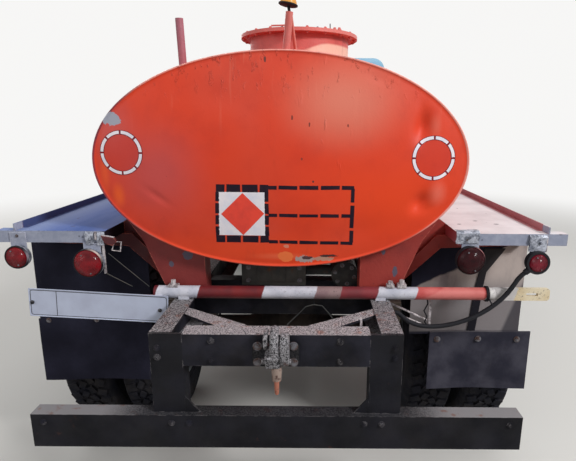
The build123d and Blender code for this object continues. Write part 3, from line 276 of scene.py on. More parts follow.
@finish
def neckEnamel():
    f, base = enamel("neckEnamel", tone(210, 96, 90), tone(216, 110, 102), tone(168, 66, 68), 0.5)
    # painted sunlight on the wall's lower right, below the shadow line of the flange
    low = f.ramp(f.math("SUBTRACT", f.axis("Z"), f.math("MULTIPLY", f.ramp(f.axis("X"), 0.02, 0.20), 0.045)), 1.992, 1.978)
    lit = f.math("MULTIPLY", low, f.ramp(f.axis("X"), 0.02, 0.12))
    base = f.mix(f.math("MULTIPLY", lit, 0.9), base, tone(250, 204, 182))
    # painted highlight: the flange's top lighter towards the right
    top = f.ramp(f.axis("Z"), 2.076, 2.082)
    base = f.mix(f.math("MULTIPLY", top, f.ramp(f.axis("X"), -0.1, 0.25, 0.3, 0.8)), base, tone(224, 132, 124))
    runs = f.ramp(f.noise(10.0, 5.0, 0.6, (1, 1, 0.2)), 0.56, 0.72)
    base = f.mix(f.math("MULTIPLY", runs, 0.45), base, tone(134, 56, 66))
    f.colour(base)
    f.relief(f.noise(60.0, 5.0), 0.003, 0.6)
    return f


@finish
def pipeBrown():
    f, base = enamel("pipeBrown", tone(176, 96, 104), tone(164, 108, 124), tone(124, 60, 66), 0.55)
    f.colour(base)
    f.relief(f.noise(80.0, 4.0), 0.002)
    return f


# Blacks of the chassis, with dust on top and bare speckle where feet and hoses rub

def wornBlack(name, speckle, dustShare, base=(15, 15, 22), light=(38, 38, 48), ends=None):
    f = Finish(name, 0.7, Specular_IOR_Level=0.18)
    shade = f.mix(f.ramp(f.noise(7.0, 5.0), 0.35, 0.7), tone(*base), tone(*light))
    dust = f.math("MULTIPLY", f.ramp(f.noise(3.0, 6.0, 0.65), 0.45, 0.75), dustShare)
    shade = f.mix(dust, shade, tone(98, 90, 84))
    worn = f.math("MULTIPLY", f.edges(0.004), f.ramp(f.noise(34.0, 5.0), 0.48, 0.60))
    shade = f.mix(f.math("MULTIPLY", worn, 0.6), shade, tone(138, 134, 136))
    if speckle:
        up = f.add("ShaderNodeSeparateXYZ", {0: f.add("ShaderNodeNewGeometry").outputs["Normal"]}).outputs["Z"]
        onTop = f.ramp(up, 0.20, 0.60)
        grain = f.ramp(f.noise(190.0, 6.0, 0.85), 0.47, 0.52)
        if ends:  # more of it towards the part's ends
            grain = f.math("MAXIMUM", grain, f.ramp(f.math("ABSOLUTE", f.axis("X")), ends, ends + 0.2))
            speckle = f.ramp(f.math("ABSOLUTE", f.axis("X")), ends, ends + 0.2, 0.08, speckle)
        bare = f.mix(f.ramp(f.noise(24.0, 3.0), 0.58, 0.70), tone(198, 195, 198), tone(184, 150, 142))
        shade = f.mix(f.math("MULTIPLY", f.math("MULTIPLY", onTop, grain), speckle), shade, bare)
    rust = f.ramp(f.noise(18.0, 6.0, 0.7, shift=(3, 1, 2)), 0.65, 0.74)
    shade = f.mix(f.math("MULTIPLY", rust, 0.4), shade, tone(84, 54, 44))
    f.colour(shade)
    f.rough(f.ramp(f.noise(10.0, 4.0), 0.3, 0.7, 0.55, 0.85))
    f.relief(f.noise(70.0, 5.0, 0.65), 0.0018, 0.5)
    return f


@finish
def chassisBlack():
    return wornBlack("chassisBlack", 0, 0.3)


@finish
def railBlack():
    return wornBlack("railBlack", 0.6, 0.3)


@finish
def speckledBlack():
    return wornBlack("speckledBlack", 0.95, 0.12)


@finish
def bumperBlack():
    return wornBlack("bumperBlack", 0.40, 0.05, (14, 14, 19), (26, 26, 33), 0.42)


@finish
def axleBlack():
    return wornBlack("axleBlack", 0, 0.6, (34, 32, 32), (66, 60, 56))


@finish
def hookSteel():
    f = Finish("hookSteel", 0.7, 0.2, Specular_IOR_Level=0.2)
    grain = f.ramp(f.noise(190.0, 6.0, 0.85), 0.47, 0.52)
    behind = f.ramp(f.axis("Y"), -2.590, -2.600)
    shade = f.mix(f.math("MULTIPLY", grain, behind), tone(16, 16, 20), tone(164, 162, 166))
    shade = f.mix(f.math("MULTIPLY", f.ramp(f.noise(12.0), 0.6, 0.72), behind), shade, tone(92, 64, 58))
    peg = f.mix(f.ramp(f.axis("Z"), 0.799, 0.795), tone(160, 142, 132), tone(182, 118, 98))
    peg = f.mix(f.ramp(f.noise(60.0, 5.0), 0.5, 0.62), peg, tone(92, 70, 64))
    low = f.math("MULTIPLY", f.ramp(f.axis("Z"), 0.846, 0.843), f.ramp(f.math("ABSOLUTE", f.axis("X")), 0.034, 0.030))
    f.colour(f.mix(low, shade, peg))
    f.relief(f.noise(120.0, 5.0, 0.7), 0.002, 0.7)
    return f


@finish
def springSteel():
    f = Finish("springSteel", 0.6, 0.3)
    shade = f.mix(f.noise(14.0, 5.0), tone(44, 42, 42), tone(92, 74, 62))
    f.colour(f.mix(f.math("MULTIPLY", f.noise(3.0, 5.0), 0.5), shade, tone(118, 106, 94)))
    f.relief(f.noise(90.0, 4.0), 0.002)
    return f


@finish
def machineGrey():
    f = Finish("machineGrey", 0.65, 0.1, Specular_IOR_Level=0.25)
    shade = f.mix(f.ramp(f.noise(6.0, 5.0), 0.35, 0.7), tone(46, 48, 50), tone(88, 86, 82))
    f.colour(f.mix(f.ramp(f.noise(20.0, 5.0), 0.6, 0.72), shade, tone(98, 66, 50)))
    f.relief(f.noise(60.0, 5.0), 0.003)
    return f


@finish
def exhaustSteel():
    f = Finish("exhaustSteel", 0.62, 0.5)
    f.colour(f.mix(f.ramp(f.noise(9.0, 6.0, 0.7), 0.35, 0.68), tone(92, 86, 82), tone(112, 66, 46)))
    f.relief(f.noise(110.0, 4.0), 0.0015)
    return f


# Catwalks: pale worn paint on the decks, maroon on the outer lips; the left deck, its lip and its inboard side are
# painted in shade, the deck blue from the sky

@finish
def walkPaint():
    f = Finish("walkPaint", 0.75, Specular_IOR_Level=0.12)
    right = f.ramp(f.axis("X"), -0.05, 0.05)
    pale = f.mix(f.ramp(f.noise(5.0, 5.0), 0.35, 0.7), tone(230, 224, 226), tone(212, 204, 206))
    # painted shade: the left deck blue as in shade under the sky, lighter towards its outer edge
    blue = f.mix(f.ramp(f.noise(4.0, 5.0, 0.6, (3, 0.5, 1)), 0.3, 0.7), tone(62, 90, 156), tone(86, 108, 168))
    blue = f.mix(f.ramp(f.axis("X"), -0.84, -1.00), blue, tone(124, 140, 182))
    worn = f.mix(f.ramp(f.noise(30.0, 6.0, 0.7), 0.35, 0.68), tone(148, 154, 174), tone(164, 169, 187))
    parts = f.add("ShaderNodeSeparateXYZ", {0: f.add("ShaderNodeNewGeometry").outputs["Normal"]})
    onTop = f.ramp(parts.outputs["Z"], 0.5, 0.8)
    inboard = f.ramp(f.math("ABSOLUTE", f.axis("X")), 0.700, 0.684)
    ahead = f.ramp(f.axis("Y"), -2.20, -2.19)
    shade = f.mix(onTop, f.mix(ahead, worn, tone(120, 60, 62)), f.mix(right, blue, pale))
    # painted shade: the left deck's inboard side near black; the right one in its own pinkish red
    inner = f.mix(right, tone(30, 22, 30), tone(186, 112, 122))
    shade = f.mix(f.math("MULTIPLY", inboard, f.math("SUBTRACT", 1.0, onTop)), shade, inner)
    lip = f.math("MULTIPLY", f.ramp(f.math("ABSOLUTE", f.axis("X")), 1.004, 1.010), ahead)
    # the left lip painted blue as in shade; the right lip in its own pinkish maroon
    lipToneAndShade = f.mix(right, tone(68, 80, 124), f.mix(f.noise(12.0), tone(170, 112, 120), tone(190, 134, 138)))
    shade = f.mix(lip, shade, lipToneAndShade)
    spots = f.ramp(f.noise(26.0, 2.0, 0.5), 0.71, 0.74)
    shade = f.mix(f.math("MULTIPLY", spots, 0.6), shade, tone(78, 76, 84))
    for x, y in ((0.734, -2.073), (0.824, -2.002), (0.891, -2.068)):
        shade = f.mix(f.spot((x, y, 1.206), (0.010, 0.006, 0.02), 0.6, 80.0), shade, tone(86, 76, 84))
    chips = f.math("MULTIPLY", f.edges(0.005), f.ramp(f.noise(32.0), 0.46, 0.58))
    shade = f.mix(f.math("MULTIPLY", chips, 0.6), shade, tone(96, 80, 86))
    f.colour(shade)
    f.relief(f.noise(40.0, 5.0), 0.0015, 0.4)
    return f


@finish
def clampMetal():
    f = Finish("clampMetal", 0.5, 0.4)
    f.colour(f.mix(f.ramp(f.noise(45.0, 5.0, 0.7), 0.38, 0.6), tone(98, 102, 114), tone(176, 180, 192)))
    f.relief(f.noise(60.0, 4.0), 0.005, 0.9)
    return f


@finish
def galvanised():
    f = Finish("galvanised", 0.6, 0.1, Specular_IOR_Level=0.3)
    shade = f.mix(f.ramp(f.noise(30.0, 5.0, 0.7), 0.35, 0.68), tone(146, 151, 170), tone(168, 172, 188))
    f.colour(f.mix(f.math("MULTIPLY", f.edges(0.003), 0.9), shade, tone(222, 220, 230)))
    f.relief(f.noise(70.0, 4.0), 0.001)
    return f


@finish
def paleSteel():
    f = Finish("paleSteel", 0.6, 0.1, Specular_IOR_Level=0.3)
    f.colour(f.mix(f.ramp(f.noise(60.0, 5.0, 0.7), 0.40, 0.62), tone(206, 198, 200), tone(128, 120, 124)))
    f.relief(f.noise(90.0, 4.0), 0.001)
    return f


# The bar's bands: x where each begins, its two tones, share of black speckle; the red bands left of the middle and the
# grey-brown band are painted darker as in shade
barBands = {"wobble": 0.012, "blur": 0.002, "bands": [
    (-0.600, (96, 28, 36), (112, 44, 50), 0.1), (-0.497, (212, 212, 222), (186, 188, 202), 0.3),
    (-0.332, (120, 36, 38), (98, 32, 38), 0.2), (-0.077, (212, 210, 220), (184, 184, 196), 0.5),
    (0.131, (150, 124, 124), (132, 104, 108), 0.7), (0.230, (134, 52, 58), (116, 48, 54), 0.5),
    (0.375, (206, 206, 216), (180, 182, 196), 0.3), (0.529, (188, 78, 76), (208, 108, 104), 0.1),
    (0.806, (222, 218, 214), (204, 200, 200), 0.4), (0.925, (234, 220, 190), (222, 200, 160), 0.8)]}


@finish
def barStripes():
    f = Finish("barStripes", 0.5, Specular_IOR_Level=0.3)
    wave = f.math("MULTIPLY", f.math("SUBTRACT", f.noise(30.0, 4.0, 0.6), 0.5), barBands["wobble"])
    slant = f.math("MULTIPLY", f.math("SUBTRACT", f.axis("Z"), 0.96), 0.3)
    along = f.math("ADD", f.math("SUBTRACT", f.axis("X"), slant), wave)
    tones, grain = f.ramp(f.noise(14.0, 5.0), 0.35, 0.65), f.ramp(f.noise(130.0, 5.0, 0.75), 0.58, 0.64)
    shade, dirt = tone(96, 28, 36), 0.0
    for x, first, second, speckle in barBands["bands"]:
        step = f.ramp(along, x - barBands["blur"], x + barBands["blur"])
        shade = f.mix(step, shade, f.mix(tones, tone(*first), tone(*second)))
        dirt = f.math("ADD", f.math("MULTIPLY", dirt, f.math("SUBTRACT", 1.0, step)), f.math("MULTIPLY", step, speckle))
    # painted highlight: a lighter diagonal patch on the right red band
    barHighlightMask = f.math("MULTIPLY", f.ramp(f.math("SUBTRACT", f.axis("X"), f.math("MULTIPLY", f.axis("Z"), 2.0)), -1.345, -1.325),
                    f.ramp(f.axis("X"), 0.80, 0.79))
    shade = f.mix(f.math("MULTIPLY", barHighlightMask, 0.5), shade, tone(222, 136, 130))
    shade = f.mix(f.math("MULTIPLY", grain, dirt), shade, tone(78, 64, 62))
    f.colour(shade)
    f.relief(f.noise(50.0, 4.0), 0.0015)
    return f


@finish
def plateWhite():
    f = Finish("plateWhite", 0.35, Coat_Weight=0.3)
    shade = f.mix(f.ramp(f.noise(9.0, 4.0), 0.4, 0.75), tone(194, 202, 224), tone(180, 186, 208))
    f.colour(f.mix(f.ramp(f.noise(50.0, 5.0, 0.7), 0.70, 0.76), shade, tone(120, 116, 120)))
    f.relief(f.noise(20.0, 2.0), 0.0008, 0.3)
    return f


@finish
def plateInk():
    f = Finish("plateInk", 0.5)
    f.colour(f.mix(f.noise(30.0), tone(24, 24, 30), tone(52, 52, 60)))
    return f


@finish
def stencilBlack():
    f = Finish("stencilBlack", 0.6, Specular_IOR_Level=0.15)
    f.colour(f.mix(f.ramp(f.noise(30.0, 5.0), 0.35, 0.75), tone(26, 17, 32), tone(44, 27, 38)))
    f.relief(f.noise(90.0, 3.0), 0.0008)
    return f


@finish
def ringEdge():
    f = Finish("ringEdge", 0.55, Specular_IOR_Level=0.2)
    f.colour(f.mix(f.noise(30.0), tone(138, 34, 44), tone(120, 30, 44)))
    return f


@finish
def stencilWhite():
    f = Finish("stencilWhite", 0.5)
    shade = f.mix(f.ramp(f.noise(18.0, 5.0), 0.35, 0.7), tone(250, 243, 248), tone(230, 230, 244))
    f.colour(f.mix(f.ramp(f.noise(75.0, 4.0, 0.7), 0.66, 0.72), shade, tone(206, 110, 96)))
    f.relief(f.noise(90.0, 3.0), 0.0008)
    return f


@finish
def diamondRed():
    f = Finish("diamondRed", 0.45)
    f.colour(f.mix(f.ramp(f.noise(16.0, 5.0), 0.35, 0.7), tone(246, 74, 54), tone(226, 66, 52)))
    return f


# Rubber, glass and lamps

@finish
def tyreRubber():
    f = Finish("tyreRubber", 0.85, Specular_IOR_Level=0.15)
    shade = f.mix(f.ramp(f.noise(12.0, 5.0), 0.35, 0.7), tone(21, 22, 30), tone(36, 37, 46))
    dust = f.ramp(f.noise(5.0, 6.0, 0.7), 0.42, 0.70)
    f.colour(f.mix(f.math("MULTIPLY", dust, 0.26), shade, tone(92, 86, 80)))
    f.relief(f.noise(160.0, 4.0), 0.0012)
    return f


@finish
def flapRubber():
    f = Finish("flapRubber", 0.8, Specular_IOR_Level=0.15)
    # painted light on the right flap: pale sunlit rubber, with some dust in it, below a diagonal shadow line; above it
    # the rubber is painted dark as in shade, and it stays darker near the outer edge
    rubberInShade = f.mix(f.ramp(f.noise(6.0, 5.0), 0.35, 0.7), tone(27, 27, 41), tone(42, 42, 58))
    sunlitDustyRubber = f.mix(f.ramp(f.axis("Z"), 1.00, 0.86), tone(198, 184, 178), tone(140, 134, 136))
    sunlitDustyRubber = f.mix(f.ramp(f.noise(9.0, 6.0, 0.6, (1, 1, 0.35)), 0.42, 0.75), sunlitDustyRubber, tone(134, 124, 126))
    below = f.ramp(f.math("ADD", f.math("SUBTRACT", f.axis("Z"), f.math("MULTIPLY", f.axis("X"), 0.47)),
                          f.math("MULTIPLY", f.noise(18.0), 0.03)), 0.668, 0.656)
    outer = f.ramp(f.math("SUBTRACT", f.axis("X"), f.math("MULTIPLY", f.axis("Z"), 0.33)), 0.730, 0.750)
    share = f.math("MULTIPLY", f.math("MULTIPLY", below, f.ramp(f.axis("X"), 0.0, 0.1)),
                   f.math("SUBTRACT", 1.0, f.math("MULTIPLY", outer, 0.7)))
    shade = f.mix(share, rubberInShade, sunlitDustyRubber)
    lower = f.math("MULTIPLY", f.ramp(f.axis("Z"), 0.712, 0.700), f.ramp(f.axis("X"), 0.0, 0.1))
    shade = f.mix(lower, shade, f.mix(f.ramp(f.noise(7.0, 5.0), 0.35, 0.7), tone(42, 42, 54), tone(72, 71, 82)))
    splash = f.ramp(f.noise(14.0, 6.0, 0.7, (1, 1, 0.3)), 0.62, 0.76)
    f.colour(f.mix(f.math("MULTIPLY", splash, 0.25), shade, tone(100, 94, 94)))
    f.relief(f.noise(50.0, 5.0), 0.0015)
    return f


@finish
def darkBandRubber():
    f = Finish("darkBandRubber", 0.75, Specular_IOR_Level=0.15)
    # painted shade: darker low down, lighter towards the top
    f.colour(f.mix(f.ramp(f.axis("Z"), 0.86, 1.06), tone(24, 23, 31), tone(56, 52, 54)))
    f.relief(f.noise(60.0, 4.0), 0.001)
    return f


@finish
def blackRubber():
    f = Finish("blackRubber", 0.65, Specular_IOR_Level=0.2)
    f.colour(f.mix(f.noise(24.0, 4.0), tone(16, 16, 20), tone(34, 34, 40)))
    f.relief(f.noise(90.0, 3.0), 0.001)
    return f


@finish
def lampRim():
    f = Finish("lampRim", 0.5, Specular_IOR_Level=0.2)
    shade = f.mix(f.noise(24.0, 4.0), tone(16, 16, 20), tone(34, 34, 40))
    # painted highlights: pale patches on each rim's upper right, where light catches it
    for x, z, wide, worn in ((-0.706, 1.128, 0.050, (214, 196, 188)), (0.764, 1.144, 0.040, (178, 122, 122)),
                             (-0.969, 1.114, 0.032, (140, 132, 142))):
        shade = f.mix(f.glow((x, -2.28, z), (wide, 0.3, wide)), shade, tone(*worn))
    f.colour(shade)
    return f


def lensFinish(name, main, deep, shine=0.15):
    f = Finish(name, 0.2, Coat_Weight=shine, Coat_Roughness=0.1, Specular_IOR_Level=shine)
    f.colour(f.mix(f.ramp(f.noise(30.0, 3.0), 0.3, 0.75), main, deep))
    f.rough(f.ramp(f.noise(20.0, 5.0), 0.4, 0.8, 0.16, 0.4))
    f.relief(f.cells(150.0), 0.0008, 0.3)
    return f


@finish
def lensRed():
    return lensFinish("lensRed", tone(138, 16, 28), tone(92, 12, 22))


@finish
def lensDark():
    return lensFinish("lensDark", tone(58, 10, 18), tone(34, 6, 12), 0.1)


@finish
def lensRuby():
    return lensFinish("lensRuby", tone(128, 14, 38), tone(84, 10, 26), 0.2)


@finish
def lensAmber():
    return lensFinish("lensAmber", tone(240, 176, 92), tone(214, 140, 58))


@finish
def lensClear():
    return lensFinish("lensClear", tone(196, 204, 208), tone(172, 182, 188))


@finish
def paneGlass():
    f = Finish("paneGlass", 0.05, IOR=1.45, Transmission_Weight=0.92)
    f.colour(tone(206, 220, 220))
    f.rough(f.ramp(f.noise(4.0, 5.0), 0.4, 0.8, 0.03, 0.14))
    return f


@finish
def mirrorGlass():
    f = Finish("mirrorGlass", 0.06, 1.0)
    f.colour(tone(214, 218, 222))
    f.relief(f.noise(6.0), 0.0004, 0.2)
    return f


# Cab paints and trim

@finish
def cabBlue():
    f, base = enamel("cabBlue", tone(128, 176, 204), tone(150, 192, 214), tone(102, 150, 182), 0.38)
    low = f.math("MULTIPLY", f.ramp(f.axis("Z"), 1.15, 0.85), f.ramp(f.noise(5.0, 6.0, 0.7), 0.35, 0.7))
    base = f.mix(f.math("MULTIPLY", low, 0.6), base, tone(132, 122, 108))
    chips = f.math("MULTIPLY", f.edges(0.006), f.ramp(f.noise(30.0, 5.0), 0.50, 0.60))
    base = f.mix(f.math("MULTIPLY", chips, 0.8), base, tone(106, 66, 50))
    blisters = f.ramp(f.noise(26.0, 5.0, 0.7), 0.70, 0.735)
    base = f.mix(f.math("MULTIPLY", blisters, 0.8), base, tone(112, 72, 54))
    f.colour(base)
    f.rough(f.ramp(f.noise(6.0, 5.0), 0.3, 0.75, 0.42, 0.62))
    f.relief(f.noise(120.0, 2.0), 0.0006, 0.4)
    return f


def offWhite(name, bracketZ):
    f, base = enamel(name, tone(214, 214, 206), tone(200, 200, 194), tone(164, 160, 152), 0.45)
    if bracketZ:
        base = f.mix(f.ramp(f.axis("Z"), bracketZ, bracketZ + 0.002), base, tone(24, 24, 28))
    chips = f.math("MULTIPLY", f.edges(0.005), f.ramp(f.noise(34.0, 5.0), 0.48, 0.58))
    f.colour(f.mix(f.math("MULTIPLY", chips, 0.8), base, tone(102, 72, 58)))
    f.relief(f.noise(90.0, 3.0), 0.0008)
    return f


@finish
def grilleWhite():
    return offWhite("grilleWhite", None)


@finish
def bumperWhite():
    return offWhite("bumperWhite", 0.691)


@finish
def rimGrey():
    f, base = enamel("rimGrey", tone(96, 112, 124), tone(118, 128, 134), tone(70, 74, 78), 0.5)
    dust = f.ramp(f.noise(7.0, 6.0, 0.7), 0.4, 0.7)
    base = f.mix(f.math("MULTIPLY", dust, 0.6), base, tone(112, 100, 88))
    chips = f.math("MULTIPLY", f.edges(0.005), f.ramp(f.noise(26.0, 5.0), 0.42, 0.56))
    f.colour(f.mix(chips, base, tone(104, 64, 46)))
    f.relief(f.noise(60.0, 5.0), 0.0015)
    return f


@finish
def chrome():
    f = Finish("chrome", 0.2, 1.0)
    f.colour(f.mix(f.ramp(f.noise(30.0, 5.0), 0.55, 0.75), tone(198, 200, 204), tone(136, 122, 110)))
    f.rough(f.ramp(f.noise(12.0, 4.0), 0.4, 0.75, 0.14, 0.4))
    return f


@finish
def boltSteel():
    f = Finish("boltSteel", 0.55, 0.4)
    f.colour(f.mix(f.ramp(f.noise(60.0, 5.0), 0.4, 0.65), tone(112, 112, 118), tone(84, 62, 56)))
    f.relief(f.noise(200.0, 3.0), 0.0008)
    return f


@finish
def dashGrey():
    f = Finish("dashGrey", 0.6)
    f.colour(f.mix(f.noise(12.0, 4.0), tone(70, 84, 92), tone(86, 100, 108)))
    f.relief(f.noise(220.0, 3.0), 0.0008)
    return f


@finish
def seatVinyl():
    f = Finish("seatVinyl", 0.48)
    shade = f.mix(f.ramp(f.noise(8.0, 4.0), 0.35, 0.7), tone(74, 48, 40), tone(98, 66, 54))
    f.colour(f.mix(f.math("MULTIPLY", f.ramp(f.noise(24.0, 5.0), 0.62, 0.74), 0.5), shade, tone(126, 100, 86)))
    f.relief(f.cells(260.0), 0.0012, 0.4)
    return f


# Which finish each CAD node wears
wears = {
    "railBlack": ["frame_rails"],
    "chassisBlack": ["frame_crossmembers", "fuel_tank", "running_boards", "radiator"],
    "speckledBlack": ["rear_crossmember"],
    "bumperBlack": ["underrun_bumper"],
    "hookSteel": ["tow_hook"],
    "axleBlack": ["axles", "driveshaft", "tie_rod", "knuckle_left", "knuckle_right"],
    "springSteel": ["leaf_springs"],
    "machineGrey": ["engine_block", "discharge_pipe"],
    "exhaustSteel": ["exhaust"],
    "tankEnamel": ["tank_shell"],
    "fittingEnamel": ["tank_cradles", "catwalk_brackets"],
    "neckEnamel": ["manhole_neck", "hatch_lid", "tank_post"],
    "pipeBrown": ["breather_pipe"],
    "walkPaint": ["catwalks"],
    "galvanised": ["lamp_brackets"],
    "flapRubber": ["mud_flaps"],
    "barStripes": ["striped_bar"],
    "plateWhite": ["number_plate"],
    "lensRed": ["tail_lamps"],
    "lensAmber": ["marker_lamp"],
    "blackRubber": ["lamp_cable", "steering_wheel", "mirrors"],
    "cabBlue": ["cab_floor", "cab_back", "cab_front", "cab_roof", "door_left", "door_right", "hood", "front_wings"],
    "grilleWhite": ["grille_panel"],
    "bumperWhite": ["front_bumper"],
    "paneGlass": ["cab_glass", "door_glass_left", "door_glass_right"],
    "lensClear": ["headlamps"],
    "dashGrey": ["dashboard"],
    "seatVinyl": ["seat"],
    "rimGrey": ["front_rim_left", "front_rim_right", "rear_rims_left", "rear_rims_right"],
    "tyreRubber": ["front_tyre_left", "front_tyre_right", "rear_tyres_left", "rear_tyres_right"],
}
for material, names in wears.items():
    for name in names:
        for place in cadNodes[name].material_slots:
            place.material = finishes[material]
print("stage: materials,", len(finishes))


# Gathers the faces of one piece, then hands over a finished mesh on its CAD body
class Shape:
    def __init__(self, name, *materials):
        self.name, self.materials = name, materials
        self.points, self.faces, self.slots = [], [], []

    def put(self, points, faces, slot=0):
        first = len(self.points)
        self.points += [tuple(p) for p in points]
        self.faces += [[first + i for i in face] for face in faces]
        self.slots += [slot] * len(faces)

    def grid(self, rows, slot=0, closed=False):
        count = len(rows[0])
        faces = [[r * count + c, r * count + (c + 1) % count, (r + 1) * count + (c + 1) % count, (r + 1) * count + c]
                 for r in range(len(rows) - 1) for c in range(count if closed else count - 1)]
        self.put([p for row in rows for p in row], faces, slot)

    def box(self, low, high, slot=0):
        corners = [(x, y, z) for z in (low[2], high[2]) for y in (low[1], high[1]) for x in (low[0], high[0])]
        self.put(corners, [(0, 2, 3, 1), (4, 5, 7, 6), (0, 1, 5, 4), (2, 6, 7, 3), (0, 4, 6, 2), (1, 3, 7, 5)], slot)

    def prism(self, loop, shift, slot=0):  # a flat loop of points pushed along shift
        count = len(loop)
        shift = Vector(shift)
        points = [Vector(p) for p in loop] + [Vector(p) + shift for p in loop]
        sides = [(i, (i + 1) % count, count + (i + 1) % count, count + i) for i in range(count)]
        self.put(points, [tuple(range(count))[::-1], tuple(range(count, 2 * count))] + sides, slot)

    def turned(self, profile, origin, axis, slot=0, sides=48):  # profile: distance along the axis, radius
        along = Vector(axis).normalized()
        first = along.orthogonal().normalized()
        second = along.cross(first)
        turns = [2 * math.pi * i / sides for i in range(sides)]
        rows = [[Vector(origin) + along * d + (first * math.cos(t) + second * math.sin(t)) * r for t in turns]
                for d, r in profile]
        self.grid(rows, slot, closed=True)

    def rod(self, start, end, radius, slot=0, sides=16, tip=None):
        length = (Vector(end) - Vector(start)).length
        tip = radius if tip is None else tip
        self.turned([(0, 0), (0, radius), (length, tip), (length, 0)], start, Vector(end) - Vector(start), slot, sides)

    def tube(self, route, radius, slot=0, sides=10, closed=False):  # a bar bent along points
        route = [Vector(p) for p in route]
        count = len(route)
        rows, across = [], None
        for i, point in enumerate(route):
            before = route[i - 1] if i or closed else point
            after = route[(i + 1) % count] if i < count - 1 or closed else point
            along = (after - before).normalized()
            across = along.orthogonal() if across is None else across - along * across.dot(along)
            across.normalize()
            up = along.cross(across)
            rows.append([point + (across * math.cos(t) + up * math.sin(t)) * radius
                         for t in (2 * math.pi * k / sides for k in range(sides))])
        if closed:
            rows.append(rows[0])
        else:
            rows = [[route[0]] * sides] + rows + [[route[-1]] * sides]
        self.grid(rows, slot, closed=True)

    def build(self, body="chassis", slotName=None, standsFor=(), bevel=0.0, crease=35):
        mesh = bpy.data.meshes.new(self.name)
        mesh.from_pydata(self.points, [], self.faces)
        for name in self.materials:
            mesh.materials.append(finishes[name])
        mesh.polygons.foreach_set("material_index", self.slots)
        bm = bmesh.new()
        bm.from_mesh(mesh)
        bmesh.ops.remove_doubles(bm, verts=bm.verts, dist=1e-5)
        bmesh.ops.dissolve_degenerate(bm, dist=1e-6, edges=bm.edges)
        bmesh.ops.recalc_face_normals(bm, faces=bm.faces)
        bm.to_mesh(mesh)
        bm.free()
        return place(self.name, mesh, body, slotName, standsFor, bevel, crease)


def place(name, mesh, body="chassis", slotName=None, standsFor=(), bevel=0.0, crease=35):
    mesh.shade_smooth()
    mesh.set_sharp_from_angle(angle=math.radians(crease))
    piece = bpy.data.objects.new(name, mesh)
    scene.collection.objects.link(piece)
    if bevel:
        soften = piece.modifiers.new("softEdges", "BEVEL")
        soften.width, soften.segments, soften.limit_method = bevel, 2, "ANGLE"
        soften.harden_normals = True
    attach(piece, body)
    if standsFor:
        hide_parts(*standsFor)
    return piece


# Geometry Nodes: a tree under construction, and the step that turns its result into a plain mesh
class Growth:
    def __init__(self, name, inputs):
        self.tree = bpy.data.node_groups.new(name, "GeometryNodeTree")
        face = self.tree.interface
        face.new_socket("Points", in_out="INPUT", socket_type="NodeSocketGeometry")
        self.ids = {}
        for label, (kind, value) in inputs.items():
            socket = face.new_socket(label, in_out="INPUT", socket_type="NodeSocket" + kind)
            if value is not None:
                socket.default_value = value
            self.ids[label] = socket.identifier
        face.new_socket("Mesh", in_out="OUTPUT", socket_type="NodeSocketGeometry")
        self.given = self.tree.nodes.new("NodeGroupInput").outputs

    def add(self, kind, sockets=None, **settings):
        node = self.tree.nodes.new(kind)
        for key, value in settings.items():
            setattr(node, key, value)
        for key, value in (sockets or {}).items():
            if isinstance(value, bpy.types.NodeSocket):
                self.tree.links.new(value, node.inputs[key])
            else:
                node.inputs[key].default_value = value
        return node.outputs[0]

    def maths(self, operation, first, second=0.0):
        return self.add("ShaderNodeMath", {0: first, 1: second}, operation=operation)

    def attribute(self, name, kind="FLOAT_VECTOR"):
        return self.add("GeometryNodeInputNamedAttribute", {"Name": name}, data_type=kind)

    def join(self, *parts):
        node = self.tree.nodes.new("GeometryNodeJoinGeometry")
        for part in parts:
            self.tree.links.new(part, node.inputs[0])
        return node.outputs[0]

    def close(self, result):
        solid = self.add("GeometryNodeRealizeInstances", {0: result})
        painted = self.add("GeometryNodeSetMaterial", {"Geometry": solid, "Material": self.given["Material"]})
        self.tree.links.new(painted, self.tree.nodes.new("NodeGroupOutput").inputs[0])

    # seeds: place, facing direction and size of each point; values: this piece's tree inputs
    def grow(self, name, seeds, material, body="chassis", slotName=None, standsFor=(), **values):
        mesh = bpy.data.meshes.new(name)
        mesh.from_pydata([seed[0] for seed in seeds], [], [])
        facing = mesh.attributes.new("facing", "FLOAT_VECTOR", "POINT")
        facing.data.foreach_set("vector", [v for seed in seeds for v in seed[1]])
        size = mesh.attributes.new("size", "FLOAT", "POINT")
        size.data.foreach_set("value", [seed[2] for seed in seeds])
        seeded = bpy.data.objects.new(name, mesh)
        scene.collection.objects.link(seeded)
        modifier = seeded.modifiers.new("grown", "NODES")
        modifier.node_group = self.tree
        modifier[self.ids["Material"]] = finishes[material]
        for label, value in values.items():
            modifier[self.ids[label]] = value
        graph = bpy.context.evaluated_depsgraph_get()
        result = bpy.data.meshes.new_from_object(seeded.evaluated_get(graph), depsgraph=graph)
        bpy.data.objects.remove(seeded)
        result.materials.clear()
        result.materials.append(finishes[material])
        return place(name, result, body, slotName, standsFor)


# Hex bolts with washers and stud ends, one on each point, turned along its facing
boltTree = Growth("boltField", {"Material": ("Material", None), "Head Height": ("Float", 0.62),
                                "Washer": ("Float", 1.45), "Stud": ("Float", 0.55), "Seed": ("Int", 4)})


